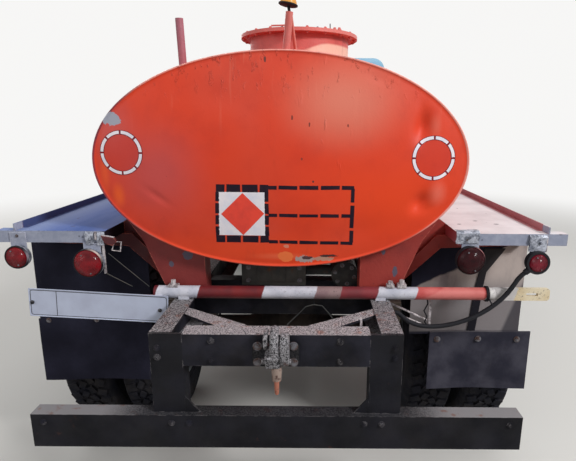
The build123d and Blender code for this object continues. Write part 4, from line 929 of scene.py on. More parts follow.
def fillBoltTree(t):
    def cylinder(sides, radius, height, start):
        body = t.add("GeometryNodeMeshCylinder", {"Vertices": sides, "Radius": radius, "Depth": height})
        lift = t.add("ShaderNodeCombineXYZ", {"Z": t.maths("ADD", start, t.maths("MULTIPLY", height, 0.5))})
        return t.add("GeometryNodeTransform", {"Geometry": body, "Translation": lift})
    washer = cylinder(16, t.given["Washer"], 0.16, 0.0)
    head = cylinder(6, 1.0, t.given["Head Height"], 0.16)
    stud = cylinder(10, t.given["Stud"], 0.35, t.maths("ADD", t.given["Head Height"], 0.16))
    facing = t.add("FunctionNodeAlignRotationToVector", {"Vector": t.attribute("facing")}, axis="Z")
    turn = t.add("FunctionNodeRandomValue", {2: 0.0, 3: 6.28, "Seed": t.given["Seed"]})
    spin = t.add("FunctionNodeAxisAngleToRotation", {"Axis": (0, 0, 1), "Angle": t.tree.nodes[-1].outputs[1]})
    turned = t.add("FunctionNodeRotateRotation", {0: facing, 1: spin}, rotation_space="LOCAL")
    t.close(t.add("GeometryNodeInstanceOnPoints", {"Points": t.given["Points"], "Instance": t.join(washer, head, stud),
                                                   "Rotation": turned, "Scale": t.attribute("size", "FLOAT")}))


fillBoltTree(boltTree)


# Tread blocks in rows round each wheel centre: the outer rows skewed, the middle row offset by half a pitch
treadTree = Growth("treadRing", {"Material": ("Material", None), "Radius": ("Float", 0.4635), "Count": ("Int", 44),
                                 "Length": ("Float", 0.044), "Height": ("Float", 0.0125)})


def fillTreadTree(t):
    pitch = t.maths("DIVIDE", 2 * math.pi, t.given["Count"])
    index = t.add("GeometryNodeInputIndex")
    rows = []
    for offset, width, skew, shift in ((-0.066, 0.044, 0.30, 0.0), (0.066, 0.044, -0.30, 0.5),
                                       (-0.019, 0.030, -0.45, 0.25), (0.019, 0.030, 0.45, 0.75)):
        block = t.add("GeometryNodeMeshCube", {"Size": t.add("ShaderNodeCombineXYZ", {
            "X": width, "Y": t.given["Length"], "Z": t.given["Height"]})})
        circle = t.add("GeometryNodeMeshLine", {"Count": t.given["Count"], "Offset": (0, 0, 0)})
        angle = t.maths("MULTIPLY", t.maths("ADD", index, shift), pitch)
        high = t.maths("MULTIPLY", t.maths("COSINE", angle), t.given["Radius"])
        ahead = t.maths("MULTIPLY", t.maths("SINE", angle), t.given["Radius"])
        spot = t.add("ShaderNodeCombineXYZ", {"X": offset, "Y": ahead, "Z": high})
        ring = t.add("GeometryNodeSetPosition", {"Geometry": circle, "Position": spot})
        lean = t.add("ShaderNodeCombineXYZ", {"X": t.maths("MULTIPLY", angle, -1.0)})
        upright = t.add("FunctionNodeEulerToRotation", {0: lean})
        askew = t.add("FunctionNodeEulerToRotation", {0: (0, 0, skew)})
        turned = t.add("FunctionNodeRotateRotation", {0: upright, 1: askew}, rotation_space="LOCAL")
        rows.append(t.add("GeometryNodeInstanceOnPoints", {"Points": ring, "Instance": block, "Rotation": turned}))
    ringMesh = t.add("GeometryNodeRealizeInstances", {0: t.join(*rows)})
    t.close(t.add("GeometryNodeInstanceOnPoints", {"Points": t.given["Points"], "Instance": ringMesh}))


fillTreadTree(treadTree)
print("stage: node trees")


# The tank: rolled shell with a lip at each end, seams, and dished ends with the photograph's dents
tank.update({"around": 168, "rings": 60, "seams": (-1.66, -0.62), "seamRise": 0.003,
             # x, z, depth in metres (negative stands out), half lengths along and across, turn in degrees
             "dents": [(0.516, 1.604, 0.034, 0.048, 0.028, 74), (0.512, 1.662, 0.012, 0.050, 0.012, 84),
                       (0.516, 1.328, 0.030, 0.034, 0.024, 62), (0.556, 1.305, 0.010, 0.034, 0.016, 20),
                       (0.572, 1.378, -0.012, 0.050, 0.026, 78), (-0.460, 1.350, 0.006, 0.050, 0.010, 146),
                       (-0.629, 1.366, -0.008, 0.038, 0.014, 85), (-0.612, 1.330, 0.006, 0.034, 0.016, 60),
                       (0.300, 1.220, 0.005, 0.090, 0.040, 15), (-0.200, 1.700, 0.004, 0.120, 0.050, 170),
                       (0.080, 1.330, -0.003, 0.16, 0.09, 0), (0.355, 1.770, 0.006, 0.045, 0.016, 160)]})


def dentDepth(x, z):
    depth = 0.0010 * math.sin(9 * x + 1.3) * math.sin(11 * z + 0.4) + 0.0006 * math.sin(23 * x - 17 * z)
    for cx, cz, deep, along, across, turn in tank["dents"]:
        c, s = math.cos(math.radians(turn)), math.sin(math.radians(turn))
        u, v = ((x - cx) * c + (z - cz) * s) / along, (-(x - cx) * s + (z - cz) * c) / across
        depth += deep * math.exp(-(u * u + v * v))
    return depth


def headY(x, z):  # the rear end's surface
    a, b = tank["halfWidth"] - tank["inset"], tank["halfHeight"] - tank["inset"]
    reach = min(1.0, math.hypot(x / a, (z - tank["centreZ"]) / b))
    ball = (b * b + tank["bulge"] ** 2) / (2 * tank["bulge"])
    rise = math.sqrt(ball * ball - (reach * b) ** 2) - (ball - tank["bulge"])
    return tank["rearRimY"] + tank["recess"] - rise + dentDepth(x, z) * (1 - reach ** 6)


def tankRing(y, inset, rise=0.0):
    a, b = tank["halfWidth"] - inset + rise, tank["halfHeight"] - inset + rise
    turns = [2 * math.pi * i / tank["around"] for i in range(tank["around"])]
    return [(a * math.cos(t), y, tank["centreZ"] + b * math.sin(t)) for t in turns]


def buildTank():
    s = Shape("tankBody", "tankEnamel")
    rear, front = tank["rearRimY"], tank["frontRimY"]
    lip, recess, inset = tank["lip"], tank["recess"], tank["inset"]

    def endWall(y, inward):  # from the outside over the rolled lip to the foot of the dished end
        over = [(y + inward * 0.006, 0.0), (y + inward * 0.0018, 0.0012), (y, 0.003), (y, lip),
                (y + inward * recess * 0.6, (lip + inset) / 2), (y + inward * recess, inset)]
        return [tankRing(*spot) for spot in over]

    def cap(inward, y):
        rows = []
        for ring in range(tank["rings"] + 1):
            share = 1 - ring / tank["rings"]
            a, b = (tank["halfWidth"] - inset) * share, (tank["halfHeight"] - inset) * share
            row = []
            for i in range(tank["around"]):
                t = 2 * math.pi * i / tank["around"]
                x, z = a * math.cos(t), tank["centreZ"] + b * math.sin(t)
                rise = headY(x, z) - tank["rearRimY"]
                row.append((x, y + inward * rise, z))
            rows.append(row)
        return rows

    side = []
    for seam in tank["seams"]:
        for step, rise in ((-0.040, 0), (-0.020, 0), (-0.012, 0), (-0.006, 0.7), (0, 1), (0.006, 0.7), (0.012, 0), (0.020, 0),
                           (0.040, 0)):
            side.append((seam + step, rise * tank["seamRise"]))
    side = [(rear + 0.03, 0), (rear + 0.2, 0)] + side + [(front - 0.2, 0), (front - 0.03, 0)]
    s.grid(cap(1, rear)[::-1] + endWall(rear, 1)[::-1] + [tankRing(y, 0.0, rise) for y, rise in sorted(side)]
           + endWall(front, -1) + cap(-1, front), closed=True)
    s.build("chassis", "tank_orange", ["tank_shell"], crease=50)

    trim = Shape("tankSeams", "fittingEnamel")
    x, low, high = -0.30, -2.24, 0.03  # lengthwise weld on top
    z = tank["centreZ"] + tank["halfHeight"] * math.sqrt(1 - (x / tank["halfWidth"]) ** 2)
    trim.tube([(x, low + (high - low) * i / 24, z) for i in range(25)], 0.004, sides=6)
    trim.build("chassis", "tank_orange")


buildTank()




# Markings are laid on the rear end's surface
def laid(s, slot, corners, across=6, up=6, lift=0.0):  # four corners in (x, z), laid on the rear end
    (ax, az), (bx, bz), (cx, cz), (dx, dz) = corners
    rows = []
    for j in range(up + 1):
        v = j / up
        row = []
        for i in range(across + 1):
            u = i / across
            x = (1 - u) * ((1 - v) * ax + v * dx) + u * ((1 - v) * bx + v * cx)
            z = (1 - u) * ((1 - v) * az + v * dz) + u * ((1 - v) * bz + v * cz)
            row.append((x, headY(x, z) - stencil["proud"] - lift, z))
        rows.append(row)
    s.grid(rows, slot)


def buildMarkings():
    s = Shape("tankMarkings", "stencilBlack", "stencilWhite", "diamondRed", "ringEdge")
    chance = random.Random(7)

    def leaned(x, z):
        lean, level = stencil["lean"]
        left = min(1.0, max(0.0, -x / 0.237))
        low = min(1.0, max(0.0, (level - z) / 0.14)) * min(1.0, max(0.0, (x + 0.04) / 0.31))
        return x - lean * (level - z) * left, z - stencil["sag"] * low * 0.22

    def bar(x0, x1, z0, z1, slot=0):
        loop = [(x + chance.uniform(-0.0009, 0.0009), z + chance.uniform(-0.0009, 0.0009))
                for x, z in ((x0, z0), (x1, z0), (x1, z1), (x0, z1))]
        laid(s, slot, [leaned(x, z) for x, z in loop],
             max(1, round((x1 - x0) / 0.02)), max(1, round((z1 - z0) / 0.02)))

    for rows, spans in (("thickRows", "thickSpans"), ("thinRows", "thinSpans")):
        for z0, z1 in stencil[rows]:
            for x0, x1 in stencil[spans]:
                bar(x0, x1, z0, z1)
    for columns, spans in (("sideColumns", "sideSpans"), ("endColumns", "endSpans")):
        for x0, x1 in stencil[columns]:
            for z0, z1 in stencil[spans]:
                bar(x0, x1, z0, z1)
    bar(*stencil["square"], 1)
    laid(s, 2, stencil["diamond"], 8, 8, 0.0005)

    def arc(centre, inner, outer, start, end, steps, slot, lift):
        rows = []
        for radius in (inner, (inner + outer) / 2, outer):
            row = []
            for i in range(steps + 1):
                t = math.radians(start + (end - start) * i / steps)
                x, z = centre[0] + radius * math.cos(t), centre[1] + radius * math.sin(t)
                row.append((x, headY(x, z) - stencil["proud"] - lift, z))
            rows.append(row)
        s.grid(rows, slot)

    outer, edge = stencil["ringRadius"], stencil["ringEdge"]
    inner = outer - stencil["ringBand"]
    turn = 360 / stencil["ringDashes"]
    for centre in stencil["ringCentres"]:
        arc(centre, inner - edge, outer + edge, 0, 360, 64, 3, 0)
        for k in range(stencil["ringDashes"]):
            start = 90 + k * turn + stencil["ringGap"] / 2
            arc(centre, inner, outer, start, start + turn - stencil["ringGap"], 8, 1, 0.0004)
    s.build("chassis", "tank_orange")


buildMarkings()
print("stage: tank and markings")


# Round tail lamps: housing, rim ring and ribbed dome, on the CAD lamps' places
tailLamps = {"rearY": -2.254, "depth": 0.030,
             # x, z, lens radius, housing radius, lens finish
             "lamps": [(-1.013, 1.108, 0.041, 0.047, "lensRed"), (-0.742, 1.086, 0.0535, 0.058, "lensRed"),
                       (0.724, 1.107, 0.0535, 0.057, "lensDark"), (0.983, 1.099, 0.036, 0.047, "lensRuby")],
             "housing": {"lensRed": "clampMetal", "lensDark": "blackRubber", "lensRuby": "blackRubber"},
             "cableEnd": (0.940, -2.271, 1.0574), "cableNext": (0.920, -2.271, 1.040), "gland": (0.024, 0.013)}


def buildTailLamps():
    t = tailLamps
    s = Shape("tailLampSet", "blackRubber", "lensRed", "lensDark", "lensRuby", "clampMetal", "boltSteel", "lampRim")
    for x, z, lens, housing, glassName in t["lamps"]:
        origin, back = (x, t["rearY"], z), (0, -1, 0)
        d = t["depth"]
        shell = s.materials.index(t["housing"][glassName])
        s.turned([(0, 0), (0, housing - 0.004), (d * 0.35, housing - 0.004), (d * 0.5, housing - 0.001), (d - 0.007, housing - 0.001)],
                 origin, back, shell)
        s.turned([(d - 0.007, housing - 0.001), (d - 0.001, housing - 0.002), (d, housing - 0.003), (d, lens), (d - 0.004, lens - 0.001),
                  (d - 0.004, 0)], origin, back, 6)
        slot = s.materials.index(glassName)
        ribs = []
        for i in range(25):
            angle = math.pi / 2 * i / 24
            wave = 0.0005 * math.cos(i * math.pi) if 2 < i < 22 else 0
            ribs.append((d - 0.003 + lens * 0.36 * math.sin(angle) + wave, (lens - 0.001) * math.cos(angle)))
        s.turned(ribs, origin, back, slot, sides=64)
        for side in (-1, 1):
            turn = 0.4 + (1.57 if side > 0 else -1.57)
            px, pz = x + (lens * 0.72) * math.cos(turn), z + (lens * 0.72) * math.sin(turn)
            s.turned([(d + lens * 0.22, 0), (d + lens * 0.22, 0.003), (d + lens * 0.265, 0.003), (d + lens * 0.27, 0)],
                     (px, t["rearY"], pz), back, 5, sides=12)
    end = Vector(t["cableEnd"])
    root = end + (end - Vector(t["cableNext"])).normalized() * t["gland"][0]
    s.rod(root, end, t["gland"][1], 0, tip=t["gland"][1] * 0.9)
    s.build("chassis", "lamp_red", ["tail_lamps"])

    marker = Shape("markerLamp", "blackRubber", "lensAmber")
    low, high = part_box("marker_lamp")
    base = Vector((0.028, -2.240, low.z + 0.020))
    up = Vector((-math.sin(math.radians(-9)), 0, math.cos(math.radians(9))))
    marker.rod((0.033, -2.240, low.z), base + up * 0.004, 0.005, 0)
    marker.turned([(0, 0), (0, 0.030), (0.002, 0.034), (0.006, 0.034), (0.007, 0.031), (0.007, 0)], base, up, 0)
    dome = [(0.007 + 0.026 * math.sin(math.pi / 2 * i / 14), 0.030 * math.cos(math.pi / 2 * i / 14)) for i in range(15)]
    marker.turned(dome, base, up, 1)
    marker.build("chassis", "lamp_amber", ["marker_lamp"])


buildTailLamps()


# Blank number plate with its printed border, divider line and two bolts
plate = {"centre": (-0.719, -2.2745, 0.911), "half": (0.271, 0.056), "tilt": 2.9, "border": 0.0022, "inset": 0.004,
         "corner": 0.010, "divider": -0.165}


def plateSpot(u, v, out=0.0):
    turn = math.radians(plate["tilt"])
    x, y, z = plate["centre"]
    bow = -0.0016 * (1.2 + math.sin(u * 9.0)) * (v + 0.056) / 0.112
    return (x + u * math.cos(turn) + v * math.sin(turn), y - out + bow, z - u * math.sin(turn) + v * math.cos(turn))


def buildPlate():
    s = Shape("numberPlateDressed", "plateWhite", "plateInk")
    halfU, halfV = plate["half"]

    def panel(u0, u1, v0, v1, out, slot, thick=0.0):
        stations = sorted({u0, u1} | {-halfU + 0.01 * k for k in range(55) if u0 < -halfU + 0.01 * k < u1})
        front = [[plateSpot(u, v, out) for u in stations] for v in (v0, v1)]
        s.grid(front, slot)
        if thick:
            back = [[plateSpot(u, v, out - thick) for u in stations] for v in (v0, v1)]
            s.grid(back, slot)
            for row in (0, 1):
                s.grid([front[row], back[row]], slot)
            for end in (0, -1):
                s.grid([[front[0][end], front[1][end]], [back[0][end], back[1][end]]], slot)

    panel(-halfU, halfU, -halfV, halfV, 0.0, 0, 0.002)
    i, b = plate["inset"], plate["border"]
    u0, u1, v0, v1, r = -halfU + i, halfU - i, -halfV + i, halfV - i, plate["corner"]
    for u in ((u0, u0 + b), (u1 - b, u1)):
        panel(*u, v0 + r, v1 - r, 0.0008, 1)
    panel(plate["divider"] - b / 2, plate["divider"] + b / 2, v0, v1, 0.0008, 1)
    for v in ((v0, v0 + b), (v1 - b, v1)):
        panel(u0 + r, u1 - r, *v, 0.0008, 1)
    for cu, cv, start in ((u1 - r, v1 - r, 0), (u0 + r, v1 - r, 90), (u0 + r, v0 + r, 180), (u1 - r, v0 + r, 270)):
        turns = [math.radians(start + 15 * k) for k in range(7)]
        s.grid([[plateSpot(cu + q * math.cos(a), cv + q * math.sin(a), 0.0008) for a in turns] for q in (r - b, r)], 1)
    for edge in (-1, 1):  # folded rim
        s.tube([plateSpot(-halfU + 2 * halfU * k / 20, edge * halfV) for k in range(21)], 0.0022, 0, sides=6)
        s.tube([plateSpot(edge * halfU, -halfV + 2 * halfV * k / 6) for k in range(7)], 0.0022, 0, sides=6)
    s.build("chassis", "plate_white", ["number_plate"])


buildPlate()


# The right outer lamp's cable, on the CAD route
lampCable = {"radius": 0.009,
             "route": [(0.940, -2.271, 1.0574), (0.920, -2.271, 1.040), (0.898, -2.271, 0.998), (0.870, -2.271, 0.958),
                       (0.832, -2.272, 0.922), (0.786, -2.274, 0.890), (0.732, -2.276, 0.863), (0.672, -2.278, 0.844),
                       (0.610, -2.280, 0.835), (0.552, -2.283, 0.838), (0.504, -2.286, 0.854), (0.472, -2.289, 0.880),
                       (0.452, -2.290, 0.900), (0.425, -2.290, 0.900)]}


def buildCable():
    curve = bpy.data.curves.new("lampCable", "CURVE")
    curve.dimensions, curve.bevel_depth, curve.bevel_resolution = "3D", lampCable["radius"], 4
    curve.resolution_u, curve.use_fill_caps = 8, True
    line = curve.splines.new("NURBS")
    line.points.add(len(lampCable["route"]) - 1)
    for point, spot in zip(line.points, lampCable["route"]):
        point.co = (*spot, 1)
    line.order_u, line.use_endpoint_u = 3, True
    curve.materials.append(finishes["blackRubber"])
    cable = bpy.data.objects.new("lampCable", curve)
    scene.collection.objects.link(cable)
    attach(cable, "chassis")
    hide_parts("lamp_cable")


buildCable()
print("stage: lamps, plate and cable")


# Tyres turned smooth, with tread blocks grown round them
tyre = {"radius": 0.470, "width": 0.240, "bead": 0.2545, "skid": 0.4585, "axleZ": 0.470,
        "wheels": {"front_wheel_left": ("front_tyre_left", 1.830, (-0.815,)),
                   "front_wheel_right": ("front_tyre_right", 1.830, (0.815,)),
                   "rear_wheels_left": ("rear_tyres_left", -1.470, (-0.7025, -0.9875)),
                   "rear_wheels_right": ("rear_tyres_right", -1.470, (0.7025, 0.9875))}}


def buildTyres():
    half, skid = tyre["width"] / 2, tyre["skid"]
    outer = [(0.100, 0.273), (0.107, 0.281), (0.1115, 0.292), (0.1125, 0.300), (0.1155, 0.302), (0.1185, 0.330),
             (half, 0.358), (half, 0.384), (0.1185, 0.404), (0.1195, 0.406), (0.1190, 0.418), (0.1140, 0.436),
             (0.1060, 0.450), (0.0980, 0.4565), (0.0860, skid), (0.045, skid + 0.0008), (0.0, skid + 0.001)]
    whole = [(0.0, tyre["bead"]), (0.098, tyre["bead"]), (0.0995, 0.262)] + outer
    profile = whole + [(-x, r) for x, r in reversed(whole)]
    for body, (node, y, places) in tyre["wheels"].items():
        s = Shape(node + "_carcass", "tyreRubber")
        for x in places:
            s.turned(profile, (x, y, tyre["axleZ"]), (1, 0, 0), sides=96)
        s.build(body, "tyre_rubber", [node], crease=32)
        seeds = [((x, y, tyre["axleZ"]), (1, 0, 0), 1.0) for x in places]
        treadTree.grow(node + "_tread", seeds, "tyreRubber", body, "tyre_rubber")


buildTyres()


# Wheel nuts, hub caps and valve stems
hubs = {"nutRadius": 0.107, "nuts": 8, "nutSize": 0.0125,
        "front": {"face": 0.886, "cap": 0.933, "capRadius": 0.054}, "rear": {"face": 0.855, "cap": 0.985, "capRadius": 0.055}}


def buildHubs():
    for body, (node, y, places) in tyre["wheels"].items():
        side = 1 if places[0] > 0 else -1
        h = hubs["front" if "front" in body else "rear"]
        seeds = []
        for k in range(hubs["nuts"]):
            t = 2 * math.pi * (k + 0.5) / hubs["nuts"]
            seeds.append(((side * h["face"], y + hubs["nutRadius"] * math.sin(t),
                           tyre["axleZ"] + hubs["nutRadius"] * math.cos(t)), (side, 0, 0), hubs["nutSize"]))
        if "rear" in body:
            for k in range(10):
                t = 2 * math.pi * k / 10
                seeds.append(((side * h["cap"], y + 0.041 * math.sin(t), tyre["axleZ"] + 0.041 * math.cos(t)),
                              (side, 0, 0), 0.006))
        boltTree.grow(body + "_nuts", seeds, "boltSteel", body, "rim_paint")
        cap = Shape(body + "_cap", "rimGrey")
        r = h["capRadius"]
        if "front" in body:
            dome = [(0, 0), (0, r)] + [(0.004 + 0.020 * math.sin(a), r * math.cos(a))
                                       for a in (math.pi / 2 * i / 10 for i in range(11))]
        else:
            dome = [(0, 0), (0, 0.028), (0.012, 0.028), (0.016, 0.024), (0.016, 0)]
        cap.turned(dome, (side * (h["cap"] - 0.0005), y, tyre["axleZ"]), (side, 0, 0), sides=32)
        stemX = side * (abs(places[-1]) + 0.02)
        cap.rod((stemX, y + 0.10, tyre["axleZ"] + 0.2135), (stemX + side * 0.035, y + 0.10, tyre["axleZ"] + 0.205), 0.004)
        cap.build(body, "rim_paint")


buildHubs()


# Mud flaps as slightly wavy rubber sheets; each row: x range, z range, y of the front face, sheet thickness
flaps = {"y": -2.035, "wave": 0.007,
         "sheets": [(-1.100, -0.600, 0.742, 1.150, 0.0, 0.006), (-1.104, -0.602, 0.454, 0.756, -0.0055, 0.005),
                    (0.556, 1.050, 0.694, 1.150, 0.0, 0.006), (0.648, 1.104, 0.422, 0.706, -0.0065, 0.006)],
         # dark band over the right flap, built as a thin rubber strap though it may be only a shadow: z, left x, right
         # x
         "strap": ((0.690, 0.816, 0.852), (0.765, 0.824, 0.859), (0.920, 0.837, 0.872), (0.985, 0.848, 0.880), (1.092, 0.864, 0.955))}


def flapWave(x, z):
    hang = min(1.0, max(0.0, (1.16 - z) / 0.5))
    return flaps["wave"] * hang ** 1.5 * (math.sin(7.5 * x + 0.8) + 0.5 * math.sin(15 * x + 4 * z))


def buildFlaps():
    s = Shape("mudFlapSheets", "flapRubber", "darkBandRubber")
    for x0, x1, z0, z1, shift, thick in flaps["sheets"]:
        faces = []
        for out in (0.0, thick):
            rows = []
            for j in range(15):
                z = z0 + (z1 - z0) * j / 14
                rows.append([(x0 + (x1 - x0) * i / 20, flaps["y"] + shift + out + flapWave(x0 + (x1 - x0) * i / 20, z), z)
                             for i in range(21)])
            s.grid(rows)
            faces.append(rows)
        front, back = faces
        for j in (0, -1):
            s.grid([front[j], back[j]])
        for i in (0, -1):
            s.grid([[row[i] for row in front], [row[i] for row in back]])
    for (z0, left0, right0), (z1, left1, right1) in zip(flaps["strap"], flaps["strap"][1:]):
        sheets = []
        for out in (0.0, 0.004):
            rows = []
            for v in (0.0, 0.5, 1.0):
                z = z0 + (z1 - z0) * v
                ends = (left0 + (left1 - left0) * v, right0 + (right1 - right0) * v)
                rows.append([(x, flaps["y"] - 0.004 + out + flapWave(x, z), z) for x in ends])
            s.grid(rows, 1)
            sheets.append(rows)
        front, back = sheets
        for i in (0, -1):
            s.grid([[row[i] for row in front], [row[i] for row in back]], 1)
            s.grid([front[i], back[i]], 1)
    s.build("chassis", "flap_rubber", ["mud_flaps"], crease=40)


buildFlaps()
print("stage: tyres, hubs and flaps")


# Bolts on the body's fixed parts: place, facing, size (radius over the corners)
def ringOfBolts(centre, radius, count, facing, size, start=0.0):
    along = Vector(facing)
    first = along.orthogonal().normalized()
    second = along.cross(first)
    turns = [start + 2 * math.pi * k / count for k in range(count)]
    return [(tuple(Vector(centre) + (first * math.cos(t) + second * math.sin(t)) * radius), facing, size) for t in turns]


def buildBolts():
    rearward, up, down = (0, -1, 0), (0, 0, 1), (0, 0, -1)
    seeds, painted = [], []
    for x, z in ((-0.060, 0.901), (0.059, 0.902), (0.059, 0.844), (-0.060, 0.844)):
        seeds.append(((x, -2.592, z), rearward, 0.0105))
    for x, z in ((-0.399, 0.881), (-0.400, 0.847), (-0.218, 0.908), (-0.219, 0.836), (0.214, 0.908), (0.215, 0.836),
                 (0.398, 0.884), (0.399, 0.850)):
        painted.append(((x, -2.570, z), rearward, 0.0085))
    for x in (-0.80, -0.36, -0.30, 0.30, 0.36, 0.80):
        painted.append(((x, -2.590, 0.612), rearward, 0.008))
    for x in (0.684, 0.870, 1.045):
        seeds.append(((x, -2.043 + flapWave(x, 0.669), 0.669), rearward, 0.010))
    for x in (-1.06, -0.85, -0.64):
        seeds.append(((x, -2.041 + flapWave(x, 0.748), 0.748), rearward, 0.008))
    for x in (-1.04, -0.88, -0.70, 0.62, 0.80, 1.0):
        painted.append(((x, -2.036 + flapWave(x, 1.12), 1.12), rearward, 0.008))
    neck = ringOfBolts((0.033, -1.070, 2.098), 0.318, 20, up, 0.0085) + ringOfBolts((0.033, -1.070, 2.080), 0.318, 20, down, 0.0085)
    for side in (-1, 1):
        for y in (-0.895, -0.125):
            painted += [((side * 0.72, y, 1.206), up, 0.007), ((side * 0.97, y, 1.206), up, 0.007)]
        for y in (-1.148, -0.085):
            painted += [((side * 0.352, y, 0.985), rearward, 0.009), ((side * 0.424, y, 0.985), rearward, 0.009),
                        ((side * 0.390, y, 1.12), rearward, 0.009)]
        for y in (-1.985, -0.760, -0.150, 0.560):
            for z in (0.80, 0.84, 0.88, 0.91):
                painted.append(((side * 0.425, y + 0.035, z), (side, 0, 0), 0.0075))
        for y in (-2.45, -2.36, -2.10, -1.75, -1.15, -0.45, 0.25, 0.95):
            painted.append(((side * 0.425, y, 0.91), (side, 0, 0), 0.0065))
        seeds += [((side * 0.392, 2.670, 0.60), (0, 1, 0), 0.012), ((side * 0.392, 2.670, 0.64), (0, 1, 0), 0.012)]
        for z in (0.76, 0.90, 1.04, 1.15):
            seeds.append(((side * 0.452, 2.462, z), (0, 1, 0), 0.006))
        for z in (1.099, 1.428):
            seeds.append(((side * 0.8795, 1.264, z + 0.014), (side, 0, 0), 0.005))
    for x, z in ((-0.978, 0.925), (-0.480, 0.894)):
        painted.append(((x, -2.277, z), rearward, 0.0055))
    for x, z in ((-1.018, 1.186), (-0.692, 1.060), (0.712, 1.182), (0.742, 1.182)):
        seeds.append(((x, -2.254, z), rearward, 0.0045))
    for x, z in ((-0.150, 1.025), (-0.150, 0.968), (0.065, 1.025), (0.065, 0.968)):
        seeds.append(((x, -2.120, z), rearward, 0.0075))
    seeds += ringOfBolts((0.255, -2.108, 0.992), 0.042, 6, rearward, 0.0065)
    boltTree.grow("chassisBolts", seeds, "boltSteel", "chassis", "chassis_black")
    boltTree.grow("paintedBolts", painted, "chassisBlack", "chassis", "chassis_black")
    boltTree.grow("neckBolts", neck, "neckEnamel", "chassis", "tank_orange")
    hatch = ringOfBolts((0.033, -1.030, 2.126), 0.196, 6, up, 0.009, 0.3)
    boltTree.grow("hatchBolts", hatch, "boltSteel", "hatch", "tank_orange")


buildBolts()


# Small fittings at the tail; ranges are x, x, z, z and outlines are x, z
tail = {"barY": -2.242, "barZ": 0.960, "barRadius": 0.025, "deckRear": -2.250,
        "barClamps": [(-0.450, -0.411, 0.973, 1.009), (0.413, 0.442, 0.984, 1.010), (0.455, 0.489, 0.984, 1.015)],
        "deckClamps": [(0.670, 0.758, 1.169, 1.217), (0.952, 1.018, 1.140, 1.204), (-0.754, -0.722, 1.156, 1.203),
                       (-0.709, -0.683, 1.152, 1.203)],
        "lampPlates": [(-1.046, -0.985, 1.100, 1.200), (-0.766, -0.700, 1.100, 1.160), (0.694, 0.760, 1.100, 1.172),
                       (0.958, 1.018, 1.100, 1.198)],
        "strips": [(-0.694, -0.685, 1.037, 1.196), (-0.719, -0.711, 1.172, 1.204), (1.018, 1.023, 1.136, 1.200)],
        "brackets": [(-0.690, 1.192), (-0.640, 1.184), (-0.632, 1.168), (-0.648, 1.152), (-0.679, 1.164)],
        "frame": [(-0.641, 1.168), (-0.615, 1.167), (-0.621, 1.130), (-0.653, 1.134)],
        "stays": [((-0.671, 1.120), (-0.526, 0.982)), ((-0.688, 1.040), (-0.592, 0.982))],
        "loop": [(-0.010, -2.520, 0.835), (-0.010, -2.400, 0.795), (0.006, -2.270, 0.795), (0.021, -2.242, 0.825),
                 (0.069, -2.242, 0.874), (0.093, -2.242, 0.900), (0.125, -2.242, 0.909), (0.159, -2.242, 0.904),
                 (0.187, -2.242, 0.871), (0.201, -2.242, 0.851), (0.216, -2.270, 0.800), (0.224, -2.400, 0.795),
                 (0.224, -2.520, 0.835)],
        "tab": [(0.285, 0.926), (0.293, 0.926), (0.292, 0.964), (0.268, 0.971), (0.266, 0.963), (0.285, 0.957)],
        "splash": [(0.428, 0.935), (0.640, 1.160), (0.680, 1.160), (0.680, 1.206), (0.605, 1.258), (0.550, 1.218),
                   (0.500, 1.190), (0.428, 1.160)]}


def arcPoints(centre, radius, start, end, count, plane="xz"):
    out = []
    for i in range(count + 1):
        t = math.radians(start + (end - start) * i / count)
        a, b = radius * math.cos(t), radius * math.sin(t)
        out.append((centre[0] + a, centre[1], centre[2] + b) if plane == "xz" else (centre[0], centre[1] + a, centre[2] + b))
    return out


def bentPlate(s, x0, x1, z0, z1, chance, slot):  # a dented clamp plate folded over the deck's edge
    y = tail["deckRear"] - 0.0085
    rows = []
    for j in range(7):
        v = j / 6
        z = z0 + (z1 - z0) * min(1.0, v * 1.25)
        back = 0.0 if v < 0.8 else (v - 0.8) / 0.2 * 0.030
        rows.append([(x0 + (x1 - x0) * i / 6 + chance.uniform(-0.002, 0.002),
                      y + back + chance.uniform(-0.003, 0.002), z + chance.uniform(-0.002, 0.002)) for i in range(7)])
    inner = [[(p[0], p[1] + 0.0065, p[2] - 0.001) for p in row] for row in rows]
    s.grid(rows, slot)
    s.grid(inner, slot)
    for j in (0, -1):
        s.grid([rows[j], inner[j]], slot)
    for i in (0, -1):
        s.grid([[row[i] for row in rows], [row[i] for row in inner]], slot)
    s.turned([(0, 0), (0, 0.006), (0.005, 0.0055), (0.005, 0.0035), (0.011, 0.0035), (0.011, 0)],
             ((x0 + x1) / 2 + 0.008, y, (z0 + z1) / 2), (0, -1, 0), slot, sides=8)


